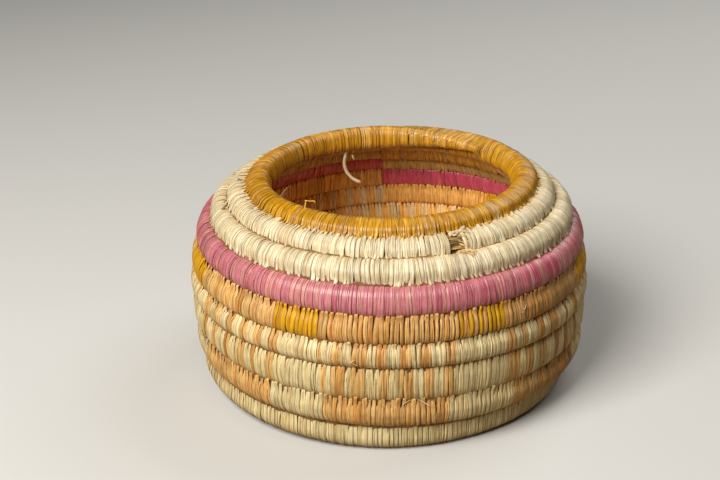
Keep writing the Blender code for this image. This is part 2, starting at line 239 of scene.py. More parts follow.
class CoilRoute:
    """Centre line and section of the coil; t is 0 at the front of the foot and grows by 1 a turn."""

    def __init__(self) -> None:
        """Works the route out turn by turn, as a table over t."""
        self.whole = np.arange(len(COURSES))
        self.leans = np.array([course.lean for course in COURSES])
        self.heights = np.array([course.height for course in COURSES])
        self.thicknesses = np.array([course.thickness for course in COURSES])
        self.pitch = BASE_COIL_WIDTH + TURN_GAP
        self.last_base_radius = FOOT_RADIUS - COURSES[0].thickness / 2 - BASE_COIL_WIDTH / 2 - TURN_GAP
        self.inside = KNOT_RADIUS + CLEARANCE
        self.start_step = BASE_COIL_WIDTH * START_SHARE + TURN_GAP
        first_full = self.inside + self.start_step + BASE_COIL_WIDTH / 2
        self.start = -2 - (self.last_base_radius - first_full) / self.pitch
        self.end = COIL_TURNS_END + RIM_END_ANGLE / 360
        first = math.floor(self.start * STEPS)
        self.grid = np.arange(first, math.ceil((self.end + 0.1) * STEPS) + 1) / STEPS
        self.radius = np.empty_like(self.grid)
        self.height = np.empty_like(self.grid)
        self._lay()

    def _lay(self) -> None:
        """Fills the table: the base as a flat spiral, each wall turn resting on the one below."""
        flat = int(np.searchsorted(self.grid, -1 + 0.5 / STEPS))
        t = self.grid[:flat]
        passed = np.maximum(t - self.start, 0)
        opening = self.inside + self.half_sizes(t)[0] + self.start_step * passed
        self.radius[:flat] = np.where(passed < 1, opening, self.last_base_radius + self.pitch * (t + 1))
        self.height[:flat] = self.reach(t, np.full_like(t, math.pi))
        for begin in range(flat, len(self.grid), STEPS):
            here = slice(begin, min(begin + STEPS, len(self.grid)))
            below = slice(here.start - STEPS, here.stop - STEPS)
            t, lean = self.grid[here], self.lean(self.grid[here])
            step = self.reach(t - 1, lean) + self.reach(t, lean + math.pi) + TURN_GAP
            self.radius[here] = self.radius[below] + step * np.sin(lean)
            self.height[here] = self.height[below] + step * np.cos(lean)

    def lean(self, t: np.ndarray) -> np.ndarray:
        """Direction of the turn at t from the one below, in radians from upright."""
        return np.radians(np.interp(t, self.whole, self.leans))

    def tilt(self, t: np.ndarray) -> np.ndarray:
        """Direction of the section's height at t, in radians from upright.

        Args:
            t: places along the coil.

        Returns:
            The angles, outward positive.
        """
        base = math.pi / 2
        above = (self.lean(np.maximum(t, 1)) + self.lean(np.maximum(t, 1) + 1)) / 2
        return np.where(t <= 0, base, base + (above - base) * np.minimum(t, 1))

    def taper(self, t: np.ndarray) -> np.ndarray:
        """Share of its full size that the section has at t.

        Args:
            t: places along the coil.

        Returns:
            The shares, under 1 near the coil's two ends.
        """
        opened = np.clip(t - self.start, 0, 1)
        closed = np.clip((t - COIL_TURNS_END) * 360 / RIM_END_ANGLE, 0, 1)
        return (START_SHARE + (1 - START_SHARE) * opened) * (1 - (1 - RIM_END_SHARE) * closed)

    def half_sizes(self, t: np.ndarray) -> tuple[np.ndarray, np.ndarray]:
        """Half the section's height and half its thickness at t.

        Args:
            t: places along the coil.

        Returns:
            Both, in metres.
        """
        share = np.clip(-t, 0, 1)
        height = np.interp(t, self.whole, self.heights)
        thickness = np.interp(t, self.whole, self.thicknesses)
        height = height + (BASE_COIL_WIDTH - height) * share
        thickness = thickness + (BASE_THICKNESS - thickness) * share
        return height / 2 * self.taper(t), thickness / 2 * self.taper(t)

    def reach(self, t: np.ndarray, direction: np.ndarray) -> np.ndarray:
        """How far the solid's ten-sided section reaches from its centre in a direction.

        Args:
            t: places along the coil.
            direction: radians from upright, outward positive.

        Returns:
            The reaches, in metres.
        """
        half_height, half_thickness = self.half_sizes(t)
        turned = direction - self.tilt(t)
        corners = np.arange(10)[:, None] * TURN / 10
        along = half_height * np.cos(corners) * np.cos(turned)
        across = half_thickness / math.cos(math.pi / 10) * np.sin(corners) * np.sin(turned)
        return np.max(along + across, axis=0)

    def centre(self, t: np.ndarray) -> tuple[np.ndarray, np.ndarray]:
        """Distance from the axis and height of the centre line at t."""
        return np.interp(t, self.grid, self.radius), np.interp(t, self.grid, self.height)

    def seams(self, t: np.ndarray) -> tuple[np.ndarray, np.ndarray]:
        """Angles on the section where the turn at t touches the one above and the one below."""
        tilt = self.tilt(t)
        return self.lean(t + 1) - tilt, math.pi + self.lean(t) - tilt

    def skin(
        self, t: np.ndarray, angle: np.ndarray, proud: np.ndarray, full: float = FULLNESS
    ) -> np.ndarray:
        """Points on or over the section's outline.

        Args:
            t: places along the coil.
            angle: radians from the section's top, outward positive.
            proud: metres over the outline.
            full: how square the outline is.

        Returns:
            Distance from the axis and height, stacked on the first axis.
        """
        half_height, half_thickness = self.half_sizes(t)
        half_height = half_height + TURN_GAP / 2
        cosine, sine = np.cos(angle), np.sin(angle)
        up = np.abs(cosine / half_height)
        out = np.abs(sine / half_thickness)
        size = (up**full + out**full) ** (-1 / full)
        normal_up = np.sign(cosine) * (up * size) ** (full - 1) / half_height
        normal_out = np.sign(sine) * (out * size) ** (full - 1) / half_thickness
        scale = proud / np.hypot(normal_up, normal_out)
        along = size * cosine + normal_up * scale
        across = size * sine + normal_out * scale
        radius, height = self.centre(t)
        tilt = self.tilt(t)
        return np.stack(
            (
                radius + along * np.sin(tilt) + across * np.cos(tilt),
                height + along * np.cos(tilt) - across * np.sin(tilt),
            )
        )

    @staticmethod
    def turn_at(course: float, angle: float) -> float:
        """The t of a course, by its number, at an angle in degrees round the basket."""
        return course - angle / 360


@dataclass
class Strips:
    """Strips of raffia along the coil, one value of each kind for every strip.

    Attributes:
        t: places along the coil.
        half_width: half their widths, in metres.
        tooth: how far the upper ends reach over the turn above.
        foot: how far the lower ends reach over the turn below.
        end_width: widths of the ends that reach over, as shares of their own.
        tip_shift: how far the upper ends are moved sideways, in metres.
        foot_shift: the same for the lower ends.
        slope: how far the ends lean, in metres.
        lift: how high they lie, in metres.
        crown: heights of their crowns, in metres.
        squareness: how flat the crowns are on top.
        roll: how much higher one edge lies, in metres.
        ridge: heights of the four ridges along each, in metres.
        seed: numbers that set their streaks apart.
        dye: colours outside.
        inner: colours inside.
    """

    t: np.ndarray
    half_width: np.ndarray
    tooth: np.ndarray
    foot: np.ndarray
    end_width: np.ndarray
    tip_shift: np.ndarray
    foot_shift: np.ndarray
    slope: np.ndarray
    lift: np.ndarray
    crown: np.ndarray
    squareness: np.ndarray
    roll: np.ndarray
    ridge: np.ndarray
    seed: np.ndarray
    dye: np.ndarray
    inner: np.ndarray

    def between(self, first: float, last: float) -> "Strips":
        """The strips of the stretch of the coil from first to last."""
        kept = (self.t > first) & (self.t <= last)
        return Strips(*(getattr(self, item.name)[kept] for item in fields(self)))

    def __len__(self) -> int:
        """Number of strips."""
        return len(self.t)


BINDING_FROM = 8.532  # where the strips begin to go round both the coil's end and the turn under it
BINDING_PAST_END = 0.02

# Ways a stitch is split lengthwise: each strip's place and width as shares of the stitch, how far it
# reaches as a tooth, and how high it lies in millimetres
IN_THREE = ((0.31, 0.42, 1.0, 0.0), (-0.02, 0.40, 0.9, 0.03), (-0.34, 0.40, 0.3, -0.05))
IN_TWO = ((0.2, 0.66, 1.0, 0.0), (-0.3, 0.54, 0.25, -0.06))
WHOLE = ((0.0, 1.0, 1.0, 0.0),)
SPLITS = (IN_THREE, IN_TWO, WHOLE)


@dataclass(frozen=True)
class Variation:
    """How much single strips differ from their stretch, in parts of its own values or as named."""

    shade: float = 0.05
    widths: tuple[float, float] = (-1.5, 1.8)
    tooth: float = 0.14
    longest_tooth: float = 1.12
    foot: float = 0.25
    longest_foot: float = 1.1
    odd_foot: float = 0.75
    tip_pitches: float = 0.08
    foot_pitches: float = 0.06
    lift_mm: float = 0.06
    crown: float = 0.15
    lap: float = 0.05 * MM
    ridge: float = 0.075 * MM


@dataclass(frozen=True)
class Leaf:
    """How the broad golden strips of the ochre blocks differ from the others, in parts."""

    crown: float = 1.45
    end_width: float = 0.8
    rounder: float = 0.7


VARIATION = Variation()
LEAF = Leaf()


class Sewer:
    """Lays the strips along the whole coil, in the order in which they are sewn."""

    FIRST_STITCH = 0.02  # turns after the coil's start
    BASE_EDGE = 0.6  # where the base's stitches are a pitch apart, as a share of half the thickness
    STEPS_FROM, STEPS_TO = 0.7, 1.4  # least and most of a pitch from one stitch to the next
    FOOT_REACH = 0.4  # most of a pitch that a foot is moved to a gap in the turn below
    SPLIT_SIZE = 0.8  # crown and ends of a split strip, as a share of a whole one's

    # Dyes: the power that keeps most strips near the usual colour, the peach strips in the third ochre
    # block, and the deep strips in the magenta course with the place where most of them are
    DRIFT_POWER = 2.2
    MIXED_SHARE, MIXED_WITHIN = 0.45, 8.0
    DEEP_LEAST, DEEP_MORE, DEEP_AT, DEEP_WIDTH = 0.08, 0.2, 50.0, 30.0
    DEEP_DRIFT, DEEP_SPREAD = 0.25, 0.4
    # The rim: its pale strips, its brown ones at the back and in front, and its painted light and sheen at
    # the back
    PALE_WITHIN, PALE_DRIFT = 1.7, 0.85
    BROWN_BACK, BROWN_FRONT, BROWN_FROM, BROWN_DRIFT = 0.14, 0.04, 100.0, 0.6
    BRIGHT_FROM, BRIGHT_OVER = 105.0, 45.0
    # Painted shade on the peach strips at the right: from where to where, over what angle it begins, and how
    # dark
    WORN_FROM, WORN_TO, WORN_OVER = 20.0, 120.0, 35.0
    WORN_LEAST, WORN_MOST = 0.4, 0.85
    INSIDE_DRIFT = 0.25
    DARKEST, LIGHTEST = 0.01, 0.95

    # How the strips crowd along the coil: waves a turn, where they begin and their size, and the loose
    # stretch near the front in degrees
    SLOW_WAVES, SLOW_START, SLOW_SIZE = 7.7, 0.6, 0.2
    FAST_WAVES, FAST_SIZE = 19.3, 0.1
    LOOSE_AT, LOOSE_WIDTH = 9, 17
    # Where the strips turn from flat to round, over what angle, how far round the basket that holds, and
    # the widths and crowns of flat ones with what round ones lose or gain
    ROUND_FROM, ROUND_OVER, ROUND_WITHIN = -22, 8, 115
    FLAT_WIDTH, ROUND_NARROWER = 1.10, 0.10
    FLAT_CROWN, ROUND_HIGHER = 0.55, 0.45
    SPLIT_LEAN = 0.4  # how much the parts of a split stitch lean towards each other at their tips

    def __init__(self, route: CoilRoute, seed: int) -> None:
        """Keeps the coil's route and a source of chance, fixed by the seed."""
        self.route = route
        self.chance = np.random.default_rng(seed)

    def sewing_at(self, t: float) -> str:
        """Name of the sewing at a place along the coil.

        Args:
            t: the place.

        Returns:
            A key of SEWING.
        """
        if t < -0.5:
            return "base"
        return COURSES[min(int(math.floor(t + 0.5)), len(COURSES) - 1)].name

    def places(self) -> tuple[np.ndarray, list[str]]:
        """Where each stitch goes, a pitch apart on the coil's outer side.

        Returns:
            Places along the coil and the name of the sewing there.
        """
        t = self.route.start + self.FIRST_STITCH
        found: list[float] = []
        names: list[str] = []
        while t < self.route.end + BINDING_PAST_END:
            name = self.sewing_at(t)
            sewing = SEWING[name]
            here = np.array([t])
            radius = float(self.route.centre(here)[0][0])
            edge = 1 if t > 0 else self.BASE_EDGE
            outer = radius + float(self.route.half_sizes(here)[1][0]) * edge
            found.append(t)
            names.append(name)
            loose = 1 + sewing.uneven * 0.5 * float(self.chance.normal())
            t += sewing.pitch * min(max(loose, self.STEPS_FROM), self.STEPS_TO) / (TURN * outer)
        return np.array(found), names

    @staticmethod
    def stripe(edges: tuple[float, ...], angle: float) -> int:
        """Number of the stripe at an angle in a check course.

        Args:
            edges: where the colour changes, in degrees round the basket.
            angle: degrees round the basket.

        Returns:
            The number, odd where the stripe is cream.
        """
        passed = int(np.searchsorted(edges, angle))
        low = edges[passed - 1] if passed else -180.0
        high = edges[passed] if passed < len(edges) else 180.0
        if high - low <= WIDEST_STRIPE:
            return passed
        stripes = max(int(round((high - low) / CHECK_WIDTH)) // 2 * 2 + 1, 1)
        return int((angle - low) / (high - low) * stripes) + (0 if passed else 1)

    def dye_at(self, name: str, angle: float) -> Dye:
        """Dye of the strip at a place.

        Args:
            name: the sewing there.
            angle: degrees round the basket.

        Returns:
            The dye.
        """
        if name == "block":
            return Dye.CREAM if int(np.searchsorted(CREAM_BLOCKS, angle)) % 2 else Dye.PEACH
        if name == "peach":
            if not int(np.searchsorted(OCHRE_BLOCKS, angle)) % 2:
                return Dye.PEACH
            mixed = self.MIXED_SHARE if abs(angle - MOTIF_ANGLES[2]) < self.MIXED_WITHIN else 0.0
            return Dye.PEACH if self.chance.random() < mixed else Dye.GOLD
        if name in ("lower_check", "upper_check"):
            edges = LOWER_CHECK if name == "lower_check" else UPPER_CHECK
            return Dye.CREAM if self.stripe(edges, angle) % 2 else Dye.PEACH
        if name == "magenta":
            return Dye.MAGENTA
        if name in ("rim", "rim_end"):
            return Dye.OCHRE
        return Dye.PALE if name in ("neck", "shoulder") else Dye.CREAM

    def colour(self, dye: Dye, bright: float, name: str, angle: float) -> tuple[np.ndarray, np.ndarray]:
        """Colours of one strip, drifting from the dye's usual ones.

        Args:
            dye: the strip's dye.
            bright: how much its brightness varies.
            name: the sewing's name.
            angle: degrees round the basket.

        Returns:
            Linear red, green and blue on the outside and on the inside.
        """
        chance = self.chance
        usual, other, most, inside = dye.value
        drift = float(chance.random()) ** self.DRIFT_POWER * most
        if dye is Dye.MAGENTA:
            deep = self.DEEP_LEAST + self.DEEP_MORE * bell(angle - self.DEEP_AT, self.DEEP_WIDTH)
            if chance.random() < deep:
                other, drift = DEEP_MAGENTA, self.DEEP_DRIFT + self.DEEP_SPREAD * float(chance.random())
        if name.startswith("rim"):
            brown = self.BROWN_BACK if abs(angle) > self.BROWN_FROM else self.BROWN_FRONT
            if min(abs(angle - place) for place in PALE_RIM) < self.PALE_WITHIN:
                other, drift = PALE_OCHRE, self.PALE_DRIFT
            elif chance.random() < brown:
                other, drift = BROWN_OCHRE, self.BROWN_DRIFT
            # Painted light and sheen: the rim's strips are lighter and yellower towards the back.
            light = min(max((abs(angle) - self.BRIGHT_FROM) / self.BRIGHT_OVER, 0), 1)
            usual = blend(usual, LIT_BACK_OCHRE, light)
        # Painted shade: peach strips are darker towards the shaded right side.
        if dye is Dye.PEACH and self.WORN_FROM < angle < self.WORN_TO:
            worn = float(chance.uniform(self.WORN_LEAST, self.WORN_MOST))
            usual = blend(usual, SHADED_PEACH, min((angle - self.WORN_FROM) / self.WORN_OVER, 1) * worn)
        shade = 1 + bright * float(np.clip(chance.normal(), -2, 2))
        mixed = np.array(usual) * (1 - drift) + np.array(other) * drift
        drift *= self.INSIDE_DRIFT
        within = np.array(inside) * (1 - drift) + np.array(other) * drift
        return tuple(np.clip(colour * shade, self.DARKEST, self.LIGHTEST) for colour in (mixed, within))

    def crowding(self, t: np.ndarray) -> np.ndarray:
        """How much tighter than usual the strips stand, looser near the front.

        Args:
            t: places along the coil.

        Returns:
            The values, from -1 up.
        """
        slow = np.sin(TURN * (self.SLOW_WAVES * t + self.SLOW_START)) * self.SLOW_SIZE
        fast = np.sin(TURN * self.FAST_WAVES * t) * self.FAST_SIZE
        return np.maximum(slow + fast - bell(degrees_round(t) - self.LOOSE_AT, self.LOOSE_WIDTH), -1)

    def roundness(self, angle: float) -> float:
        """How round the strips are: flat and broad at the left, round from the front to the right.

        Args:
            angle: degrees round the basket.

        Returns:
            A share, a half at the back.
        """
        if abs(angle) >= self.ROUND_WITHIN:
            return 0.5
        return 1 / (1 + math.exp(-(angle - self.ROUND_FROM) / self.ROUND_OVER))

    def lay(self) -> Strips:
        """Lays every strip.

        Returns:
            All of them, in order along the coil.
        """
        places, names = self.places()
        radius = self.route.centre(places)[0]
        spacing = np.gradient(places) * TURN * radius
        tips = np.array([SEWING[name].tip_shift * SEWING[name].pitch for name in names])
        gaps = (places[1:] + places[:-1]) / 2 - (tips[1:] + tips[:-1]) / 2 / (TURN * radius[1:])
        crowding = self.crowding(places)
        rows: list[dict] = []
        for number, (t, name) in enumerate(zip(places, names)):
            sewing = SEWING[name]
            after = int(np.clip(np.searchsorted(gaps, t - 1), 1, len(gaps) - 1))
            away = gaps[after - 1 : after + 1] - t + 1
            nearest = away[np.argmin(np.abs(away))]
            most = self.FOOT_REACH * sewing.pitch
            shift = float(np.clip(-nearest * TURN * radius[number], -most, most))
            width = spacing[number] * sewing.fill * (1 + sewing.drift * crowding[number])
            rows += self._stitch(t, float(radius[number]), float(width), shift, name)
        return Strips(**{item.name: np.array([row[item.name] for row in rows]) for item in fields(Strips)})

    def _stitch(self, t: float, radius: float, width: float, shift: float, name: str) -> list[dict]:
        """One stitch: a single strip, or the two or three that it is split into.

        Args:
            t: its place along the coil.
            radius: its distance from the axis, in metres.
            width: its width, in metres.
            shift: how far its foot is moved to a gap in the turn below, in metres.
            name: the sewing there.

        Returns:
            The values of each strip, by the names that Strips has for them.
        """
        chance, sewing, vary = self.chance, SEWING[name], VARIATION
        angle = float(degrees_round(t))
        dye = self.dye_at(name, angle)
        leaf = dye is Dye.GOLD
        parts = WHOLE
        if not leaf:
            parts = SPLITS[int(np.searchsorted(np.cumsum(sewing.split[::-1]), chance.random()))]
        outside, inside = self.colour(dye, sewing.bright, name, angle)
        odd = vary.odd_foot if chance.random() < sewing.odd_feet else 0.0
        roundness = self.roundness(angle)
        width *= self.FLAT_WIDTH - self.ROUND_NARROWER * roundness
        size = 1.0 if len(parts) == 1 else self.SPLIT_SIZE
        crown = sewing.crown * (self.FLAT_CROWN + self.ROUND_HIGHER * roundness)
        crown *= LEAF.crown if leaf else 1.0
        end_width = sewing.end_width * size * (LEAF.end_width if leaf else 1.0) * sewing.pitch
        made = []
        for offset, share, tooth, low in parts:
            own_width = share * (1 + sewing.uneven * float(np.clip(chance.normal(), *vary.widths)))
            own_shade = 1 + vary.shade * chance.normal()
            tooth *= sewing.tooth * (1 + vary.tooth * chance.normal())
            foot = max(sewing.foot * (1 + vary.foot * chance.normal()), odd)
            tip = sewing.tip_shift + vary.tip_pitches * chance.normal() - self.SPLIT_LEAN * offset
            strip = {
                "t": t - offset * width / (TURN * radius),
                "half_width": width / 2 * own_width,
                "tooth": float(np.clip(tooth, 0, vary.longest_tooth)),
                "foot": float(np.clip(foot, 0, vary.longest_foot)),
                "end_width": end_width / (width * own_width),
                "tip_shift": sewing.pitch * tip,
                "foot_shift": shift + sewing.pitch * vary.foot_pitches * chance.normal(),
                "slope": sewing.pitch * sewing.slope * chance.normal(),
                "lift": (low + vary.lift_mm * chance.normal()) * MM,
                "crown": crown * (1 + vary.crown * chance.normal()) * size,
                "squareness": sewing.squareness - (LEAF.rounder if leaf else 0.0),
                "roll": sewing.lap + vary.lap * chance.normal(),
                "ridge": chance.normal(size=4) * vary.ridge,
                "seed": float(chance.random()),
                "dye": outside * own_shade,
                "inner": inside * own_shade,
            }
            made.append(strip)
        return made


# Points of a strip near a seam: degrees from the seam, metres over the section, and shares of the
# strip's width and of its end's sideways shift, and how deep it lies in the seam, which thins it
# and sets the painted shade there
DIVING_END = (
    (4, -1.0 * MM, 0.50, 1.0, 1.0),
    (14, -0.45 * MM, 0.62, 1.0, 0.8),
    (26, 0.02 * MM, 0.80, 0.85, 0.4),
    (40, 0.22 * MM, 0.95, 0.5, 0.1),
)
# The same where it reaches over the turn beyond: degrees on this turn, degrees on that one, how far
# it has gone over, and the rest as above
REACHING_END = (
    (4, 20, 1.0, -1.2 * MM, 0.30, 1.0, 1.0),
    (50, 47, 1.0, -0.30 * MM, 0.60, 1.0, 0.25),
    (54, 52, 0.78, 0.30 * MM, 0.72, 1.0, 0.0),
    (52, 50, 0.42, 0.34 * MM, 0.90, 0.6, 0.0),
)
# The same where the rim's first strips hold two turns on the inside
LONG_END = (
    (4, 34, 1.0, -1.2 * MM, 0.30, 1.0, 1.0),
    (50, 112, 1.0, 0.5 * MM, 0.80, 1.0, 0.4),
    (54, 98, 1.0, 1.35 * MM, 0.95, 1.0, 0.0),
    (52, 46, 1.0, 1.35 * MM, 1.05, 0.6, 0.0),
)
LONG_UNTIL = 0.99  # turns before the coil's end at which the rim's strips begin to hold one turn only
BODY_FROM = 57.0  # degrees from a seam where the middle of a strip begins
BODY_POINTS = 5
ACROSS = np.array([-1.0, -0.74, -0.27, 0.27, 0.74, 1.0])  # places across a strip, in half widths
LYING = 0.22 * MM  # how high a strip lies over the section of the turn
EDGE_DROP = 0.07 * MM  # how far its edges lie under the path
UNDERSIDE = 0.5 * MM  # how far its under side lies under the path
THINNED = 0.6  # how much of its thickness it loses in a seam
LEANING = 0.4  # how much of a face, from each end, takes up the sideways shift of that end
LEAST_HALF_WIDTH = 0.12 * MM
EDGE_SHADE = 0.4  # how dark its edges are, as a share of the depth of a seam
FLATTENED = 0.62 * MM  # how much the strips under the base are pressed in by what it stands on
INSIDE_FROM = 0.35  # how far round the section the colours of the inside begin, on the wall
INSIDE_FROM_RIM = -0.15  # the same on the rim


class Ribbons:
    """Turns strips into closed, crowned ribbons."""

    def __init__(self, route: CoilRoute, closed_top: bool, fine: bool) -> None:
        """Works out the weights that draw a smooth loop through its control points.

        Args:
            route: the coil's route.
            closed_top: whether the strips go over the top, with no turn above.
            fine: whether the loops get their full number of points.
        """
        self.route = route
        self.closed_top = closed_top
        count = 4 * len(DIVING_END) + 2 * BODY_POINTS
        ends = len(DIVING_END)
        spans = np.ones(count, dtype=int)
        if fine:
            spans[2 : count // 2 - 2] = 2
            inner = count // 2 + ends
            spans[inner - 1 : inner + BODY_POINTS] = 2
            if closed_top:
                spans[2 : count - 3] = 2
        self.weights = self._weights(spans)

    @staticmethod
    def _weights(spans: np.ndarray) -> np.ndarray:
        """Weights of a closed smooth curve through its control points.

        Args:
            spans: points to draw between each control point and the next.

        Returns:
            One row of weights a drawn point.
        """
        rows = []
        count = len(spans)
        for number, points in enumerate(spans):
            for share in np.arange(points) / points:
                row = np.zeros(count)
                square, cube = share**2, share**3
                row[(number - 1) % count] += (-cube + 2 * square - share) / 2
                row[number] += (3 * cube - 5 * square + 2) / 2
                row[(number + 1) % count] += (-3 * cube + 4 * square + share) / 2
                row[(number + 2) % count] += (cube - square) / 2
                rows.append(row)
        return np.array(rows)

    def _end(self, strips: Strips, top: bool, side: int) -> np.ndarray:
        """Control points of the strips at one seam, from the deepest to the middle of the face.

        Args:
            strips: the strips.
            top: whether this is the seam with the turn above.
            side: 1 for the outer face, -1 for the inner one.

        Returns:
            Radius, height, width, sideways shift, depth and inner share, by point and strip.
        """
        route, t = self.route, strips.t
        upper, lower = route.seams(t)
        beyond = t + (1 if top else -1)
        beyond_upper, beyond_lower = route.seams(beyond)
        wrap = 0 if side > 0 else TURN
        if top:
            seam, away, other_seam, other_away = upper, side, beyond_lower - wrap, -side
        else:
            seam, away, other_seam, other_away = lower - wrap, -side, beyond_upper, side
        share = strips.tooth if top else strips.foot
        long = (t > RIM - 0.5) & (t < route.end - LONG_UNTIL) & (not top and side < 0)
        share = np.where(long, 1.0, share)
        own_shift, slope = (strips.tip_shift, strips.slope) if top else (strips.foot_shift, -strips.slope)
        inner = np.full_like(t, 0.0 if side > 0 else 1.0)
        points = []
        ends = zip(DIVING_END, REACHING_END, LONG_END)
        for (turned, proud, width, shift, depth), reaching, longer in ends:
            plain = route.skin(t, seam + away * math.radians(turned), np.full_like(t, proud))
            both = np.where(long, np.array(longer)[:, None], np.array(reaching)[:, None])
            near, far, gone, over_proud, over_width, over_shift, over_depth = both
            own = route.skin(t, seam + away * np.radians(near), over_proud)
            other = route.skin(beyond, other_seam + other_away * np.radians(far), over_proud)
            over = own + (other - own) * gone
            place = plain + (over - plain) * share
            wide = width + (over_width * strips.end_width - width) * share
            sideways = (shift + (over_shift - shift) * share) * own_shift + slope
            deep = depth + (over_depth - depth) * share
            points.append(np.stack((*place, wide, sideways, deep, inner)))
        return np.array(points)

    def _body(
        self,
        strips: Strips,
        ends: tuple[np.ndarray, np.ndarray],
        count: int,
        shifts: tuple[np.ndarray, np.ndarray],
    ) -> np.ndarray:
        """Control points of the strips between their ends.

        Args:
            strips: the strips.
            ends: angles on the section where they begin and end, in radians.
            count: number of points.
            shifts: how far the two ends are shifted sideways.

        Returns:
            The same quantities as for the ends, by point and strip.
        """
        ones = np.ones_like(strips.t)
        inside_from = INSIDE_FROM_RIM if self.closed_top else INSIDE_FROM
        points = []
        for share in np.linspace(0, 1, count):
            angle = ends[0] + (ends[1] - ends[0]) * share
            direction = angle + self.route.tilt(strips.t)
            sunk = np.clip(-np.cos(direction), 0, 1) ** 4 * np.clip(1 - strips.t, 0, 1)
            place = self.route.skin(strips.t, angle, LYING + strips.lift - sunk * FLATTENED)
            inner = np.clip(inside_from - np.sin(direction), 0, 1)
            leaning = shifts[0] * max(0.0, LEANING - share) + shifts[1] * max(0.0, share - (1 - LEANING))
            points.append(np.stack((*place, ones, strips.slope * np.cos(angle) + leaning, ones * 0, inner)))
        return np.array(points)

    def controls(self, strips: Strips) -> np.ndarray:
        """All control points of the strips' loops, from the bottom up the outer face and down.

        Args:
            strips: the strips.

        Returns:
            Six quantities by point and strip.
        """
        upper, lower = self.route.seams(strips.t)
        begin = math.radians(BODY_FROM)
        outer_foot, inner_foot = self._end(strips, False, 1), self._end(strips, False, -1)
        if self.closed_top:
            count = 2 * (BODY_POINTS + len(DIVING_END))
            feet = (strips.foot_shift, strips.foot_shift)
            over = self._body(strips, (lower - begin, lower - TURN + begin), count, feet)
            return np.concatenate((outer_foot, over, inner_foot[::-1]))
        both = (strips.foot_shift, strips.tip_shift)
        outer = self._body(strips, (lower - begin, upper + begin), BODY_POINTS, both)
        inner = self._body(strips, (upper - begin, lower - TURN + begin), BODY_POINTS, both[::-1])
        outer_tip, inner_tip = self._end(strips, True, 1), self._end(strips, True, -1)
        return np.concatenate((outer_foot, outer, outer_tip[::-1], inner_tip, inner, inner_foot[::-1]))

    def _reference(self, strips: Strips) -> np.ndarray:
        """Radius at which the strips' widths are meant, one for each of the strips given."""
        return np.maximum(self.route.centre(strips.t)[0], 5 * MM)

    def build(self, strips: Strips) -> "Skin":
        """Ribbons of the strips, each a closed loop.

        Args:
            strips: the strips.

        Returns:
            Their points, faces and what the material needs.
        """
        controls = self.controls(strips)
        path = np.einsum("sk,kqn->qsn", self.weights, controls)
        radius, height, width, shift, depth, inner = path
        run_out = np.roll(radius, -1, axis=0) - np.roll(radius, 1, axis=0)
        run_up = np.roll(height, -1, axis=0) - np.roll(height, 1, axis=0)
        length = np.maximum(np.hypot(run_out, run_up), 1e-9)
        normal_out, normal_up = run_up / length, -run_out / length
        step = np.hypot(np.diff(radius, axis=0), np.diff(height, axis=0))
        along = np.concatenate((np.zeros((1, len(strips))), np.cumsum(step, axis=0)))
        half = np.maximum(width * strips.half_width, LEAST_HALF_WIDTH)
        open_share = 1 - THINNED * np.clip(depth, 0, 1)
        stations, strip_count = radius.shape
        across = np.append(ACROSS, 0.0)
        lifts = np.empty((len(across), stations, strip_count))
        for number, place in enumerate(ACROSS):
            bow = strips.crown * (1 - abs(place) ** strips.squareness) * open_share - EDGE_DROP
            ridge = strips.ridge[:, number - 1] if 0 < number < len(ACROSS) - 1 else 0.0
            lifts[number] = bow + (ridge + strips.roll * place) * open_share
        lifts[-1] = -UNDERSIDE * open_share
        distance = radius + normal_out * lifts
        level = np.maximum(height + normal_up * lifts, 0)
        sideways = shift + across[:, None, None] * half
        angle = -TURN * strips.t + sideways / self._reference(strips)
        points = round_basket(distance, level, angle).transpose(2, 1, 0, 3)
        fibres = np.broadcast_arrays((sideways - shift) / MM, along / MM, strips.seed, lifts)[:3]
        fibre = np.stack(fibres, axis=-1).transpose(2, 1, 0, 3)
        # Painted shade: the seam value darkens the material deepest in a seam and at the strips' edges.
        edge = np.abs(across)[:, None, None] ** 6 * EDGE_SHADE
        seam = np.clip(np.maximum(depth, edge), 0, 1).transpose(2, 1, 0)
        within = np.clip(inner.T, 0, 1)[:, :, None, None]
        dye = strips.dye[:, None, None, :] * (1 - within) + strips.inner[:, None, None, :] * within
        dye = np.broadcast_to(dye, points.shape)
        return Skin.of_loops(points, fibre, seam, dye)


